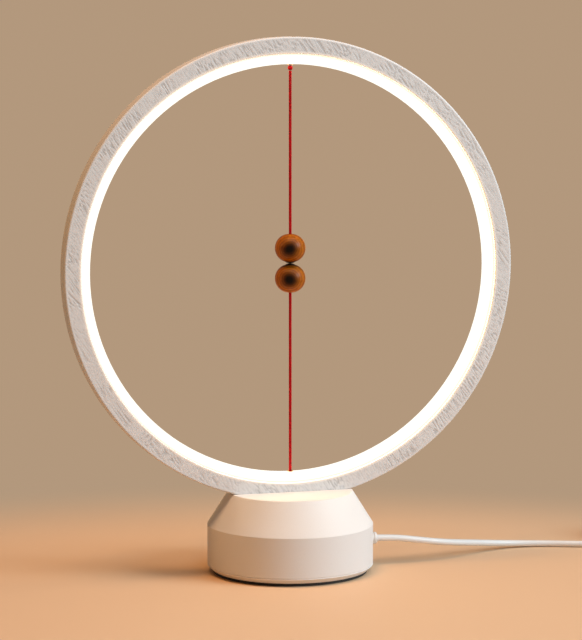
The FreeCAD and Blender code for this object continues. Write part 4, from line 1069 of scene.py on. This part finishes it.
copies = add(threading, "GeometryNodeInstanceOnPoints", {
    "Points": given["Geometry"],
    "Instance": screw,
    "Rotation": given["Turn"],
})
end_tree(threading, copies.outputs[0], given["Material"])

# %% Drive the screws
HEAD_UP, HEAD_DOWN, HEAD_FRONT = (0.0, 0.0, 0.0), (math.pi, 0.0, 0.0), (math.pi / 2, 0.0, 0.0)
SMALL = (0.0010, 0.0019, 0.0009)


def around_base(first, radius, height):
    """Three places at even angles round the base's axis."""
    angles = [math.radians(first + 120 * k) for k in range(3)]
    return [(radius * math.cos(a), radius * math.sin(a), height) for a in angles]


def corners(xs, ys, height):
    """Every pair of these two lists, at one height."""
    return [(x, y, height) for x in xs for y in ys]


screw_sets = {
    "plate_screws": ((0.0012, 0.0023, 0.0011), 0.0091, HEAD_DOWN, around_base(90, 0.0332, 0.0033)),
    "weight_screws": ((0.0014, 0.0027, 0.0013), 0.0062, HEAD_DOWN, around_base(30, 0.0200, 0.0027)),
    "saddle_screws": (SMALL, 0.0060, HEAD_DOWN, corners((-0.020, 0.020), (-0.0123, 0.0123), 0.0314)),
    "ring_screws": (SMALL, 0.0090, HEAD_DOWN, corners((-0.0125, 0.0125), (0.0,), 0.0314)),
    "frame_screws": (SMALL, 0.0056, HEAD_UP, corners((-0.0224, 0.0187), (-0.0069, 0.0069), 0.0129)),
    "switch_screws": (SMALL, 0.00775, HEAD_FRONT, corners((0.0046, 0.0134), (-0.0029,), 0.01495)),
    "board_screws": (SMALL, 0.0096, HEAD_UP, corners((-0.0105, 0.0105), (0.018,), 0.0169)),
    "clamp_screws": (SMALL, 0.0094, HEAD_UP, corners((0.0246,), (-0.0046, 0.0046), 0.0167)),
}
for solid, ((shank, head_radius, head_height), length, turn, seats) in screw_sets.items():
    values = {"Shank Radius": shank, "Length": length, "Head Radius": head_radius, "Head Height": head_height}
    values.update({"Turn": turn, "Material": looks["steel"]})
    seat_points = carrier_of(seats)
    driven = new_piece("threaded_" + solid, run_tree(seat_points, threading, values))
    bpy.data.objects.remove(seat_points)
    settle(driven, "base", slot_of[solid], solid)

# %% [markdown]
# ## The stage
#
# The floor is pale and plain, and it fades into the backdrop's colour with distance. The backdrop is
# the world's colour for camera rays and for mirrored ones, so that metal and gloss show it too, and all
# other rays get a faint warm light. The floor is clear from below, so that the underside can be looked
# at. Large soft lamps light the lamp from the right, the left and above.

# %% Floor
BACKDROP = (0.45, 0.315, 0.205, 1.0)
FLOOR_MIDDLE = (-0.055, -0.19, 0.0)
FLOOR_COLOUR = (0.73, 0.50, 0.315, 1.0)
FADE_START, FADE_END = 0.28, 0.44
bpy.ops.mesh.primitive_circle_add(vertices=96, radius=4.0, fill_type="NGON", location=(0.0, 0.0, 0.0))
floor = bpy.context.object
floor.name = "floor"
floor_material = bpy.data.materials.new("floor")
floor_material.use_nodes = True
tree = floor_material.node_tree
shader = tree.nodes["Principled BSDF"]
surface = tree.nodes["Material Output"]
shader.inputs["Base Color"].default_value = FLOOR_COLOUR
shader.inputs["Roughness"].default_value = 0.6
from_middle = arrow(tree, "SUBTRACT", add(tree, "ShaderNodeTexCoord").outputs["Object"], FLOOR_MIDDLE)
distance = add(tree, "ShaderNodeVectorMath", {0: from_middle}, operation="LENGTH").outputs["Value"]
fade = blend_step(tree, distance, FADE_START, FADE_END)
backdrop_glow = add(tree, "ShaderNodeEmission", {"Color": BACKDROP, "Strength": 1.0})
mixed = add(tree, "ShaderNodeMixShader", {0: fade, 1: shader.outputs[0], 2: backdrop_glow.outputs[0]})
clear = add(tree, "ShaderNodeBsdfTransparent")
below = add(tree, "ShaderNodeNewGeometry").outputs["Backfacing"]
open_below = add(tree, "ShaderNodeMixShader", {0: below, 1: mixed.outputs[0], 2: clear.outputs[0]})
tree.links.new(open_below.outputs[0], surface.inputs[0])
floor.data.materials.append(floor_material)

# %% World
world = bpy.data.worlds.new("studio")
bpy.context.scene.world = world
world.use_nodes = True
tree = world.node_tree
tree.nodes.clear()
rays = add(tree, "ShaderNodeLightPath").outputs
mirrored = calc(tree, "MAXIMUM", rays["Is Glossy Ray"], rays["Is Transmission Ray"])
seen = calc(tree, "MAXIMUM", rays["Is Camera Ray"], mirrored)
ambient = add(tree, "ShaderNodeBackground", {"Color": (1.0, 0.62, 0.36, 1.0), "Strength": 0.06})
shown = add(tree, "ShaderNodeBackground", {"Color": BACKDROP, "Strength": 1.0})
mixed = add(tree, "ShaderNodeMixShader", {0: seen, 1: ambient.outputs[0], 2: shown.outputs[0]})
tree.links.new(mixed.outputs[0], add(tree, "ShaderNodeOutputWorld").inputs[0])

# %% Lamps
def soft_lamp(name, place, target, size, power, colour):
    """A square soft lamp that looks at a point."""
    data = bpy.data.lights.new(name, "AREA")
    data.shape = "SQUARE"
    data.size = size
    data.energy = power
    data.color = colour
    lamp = bpy.data.objects.new(name, data)
    lamp.location = place
    lamp.rotation_mode = "QUATERNION"
    lamp.rotation_quaternion = (Vector(target) - Vector(place)).to_track_quat("-Z", "Y")
    bpy.context.scene.collection.objects.link(lamp)


soft_lamp("window_right", (1.35, -0.95, 0.95), (0.0, 0.0, 0.12), 0.9, 28.0, (0.74, 0.92, 1.04))
soft_lamp("wash_above", (0.35, -0.45, 1.55), (0.0, 0.0, 0.1), 0.9, 7.5, (0.78, 0.94, 1.06))
soft_lamp("peach_left", (-0.34, -0.20, 1.75), (0.0, 0.0, 0.05), 0.6, 16.5, (1.0, 0.49, 0.16))

# %% [markdown]
# ## Finish
#
# The view transform is set to Standard, so that a colour shows as it was written.

# %% Finish
bpy.context.scene.view_settings.view_transform = "Standard"
bpy.context.view_layer.update()
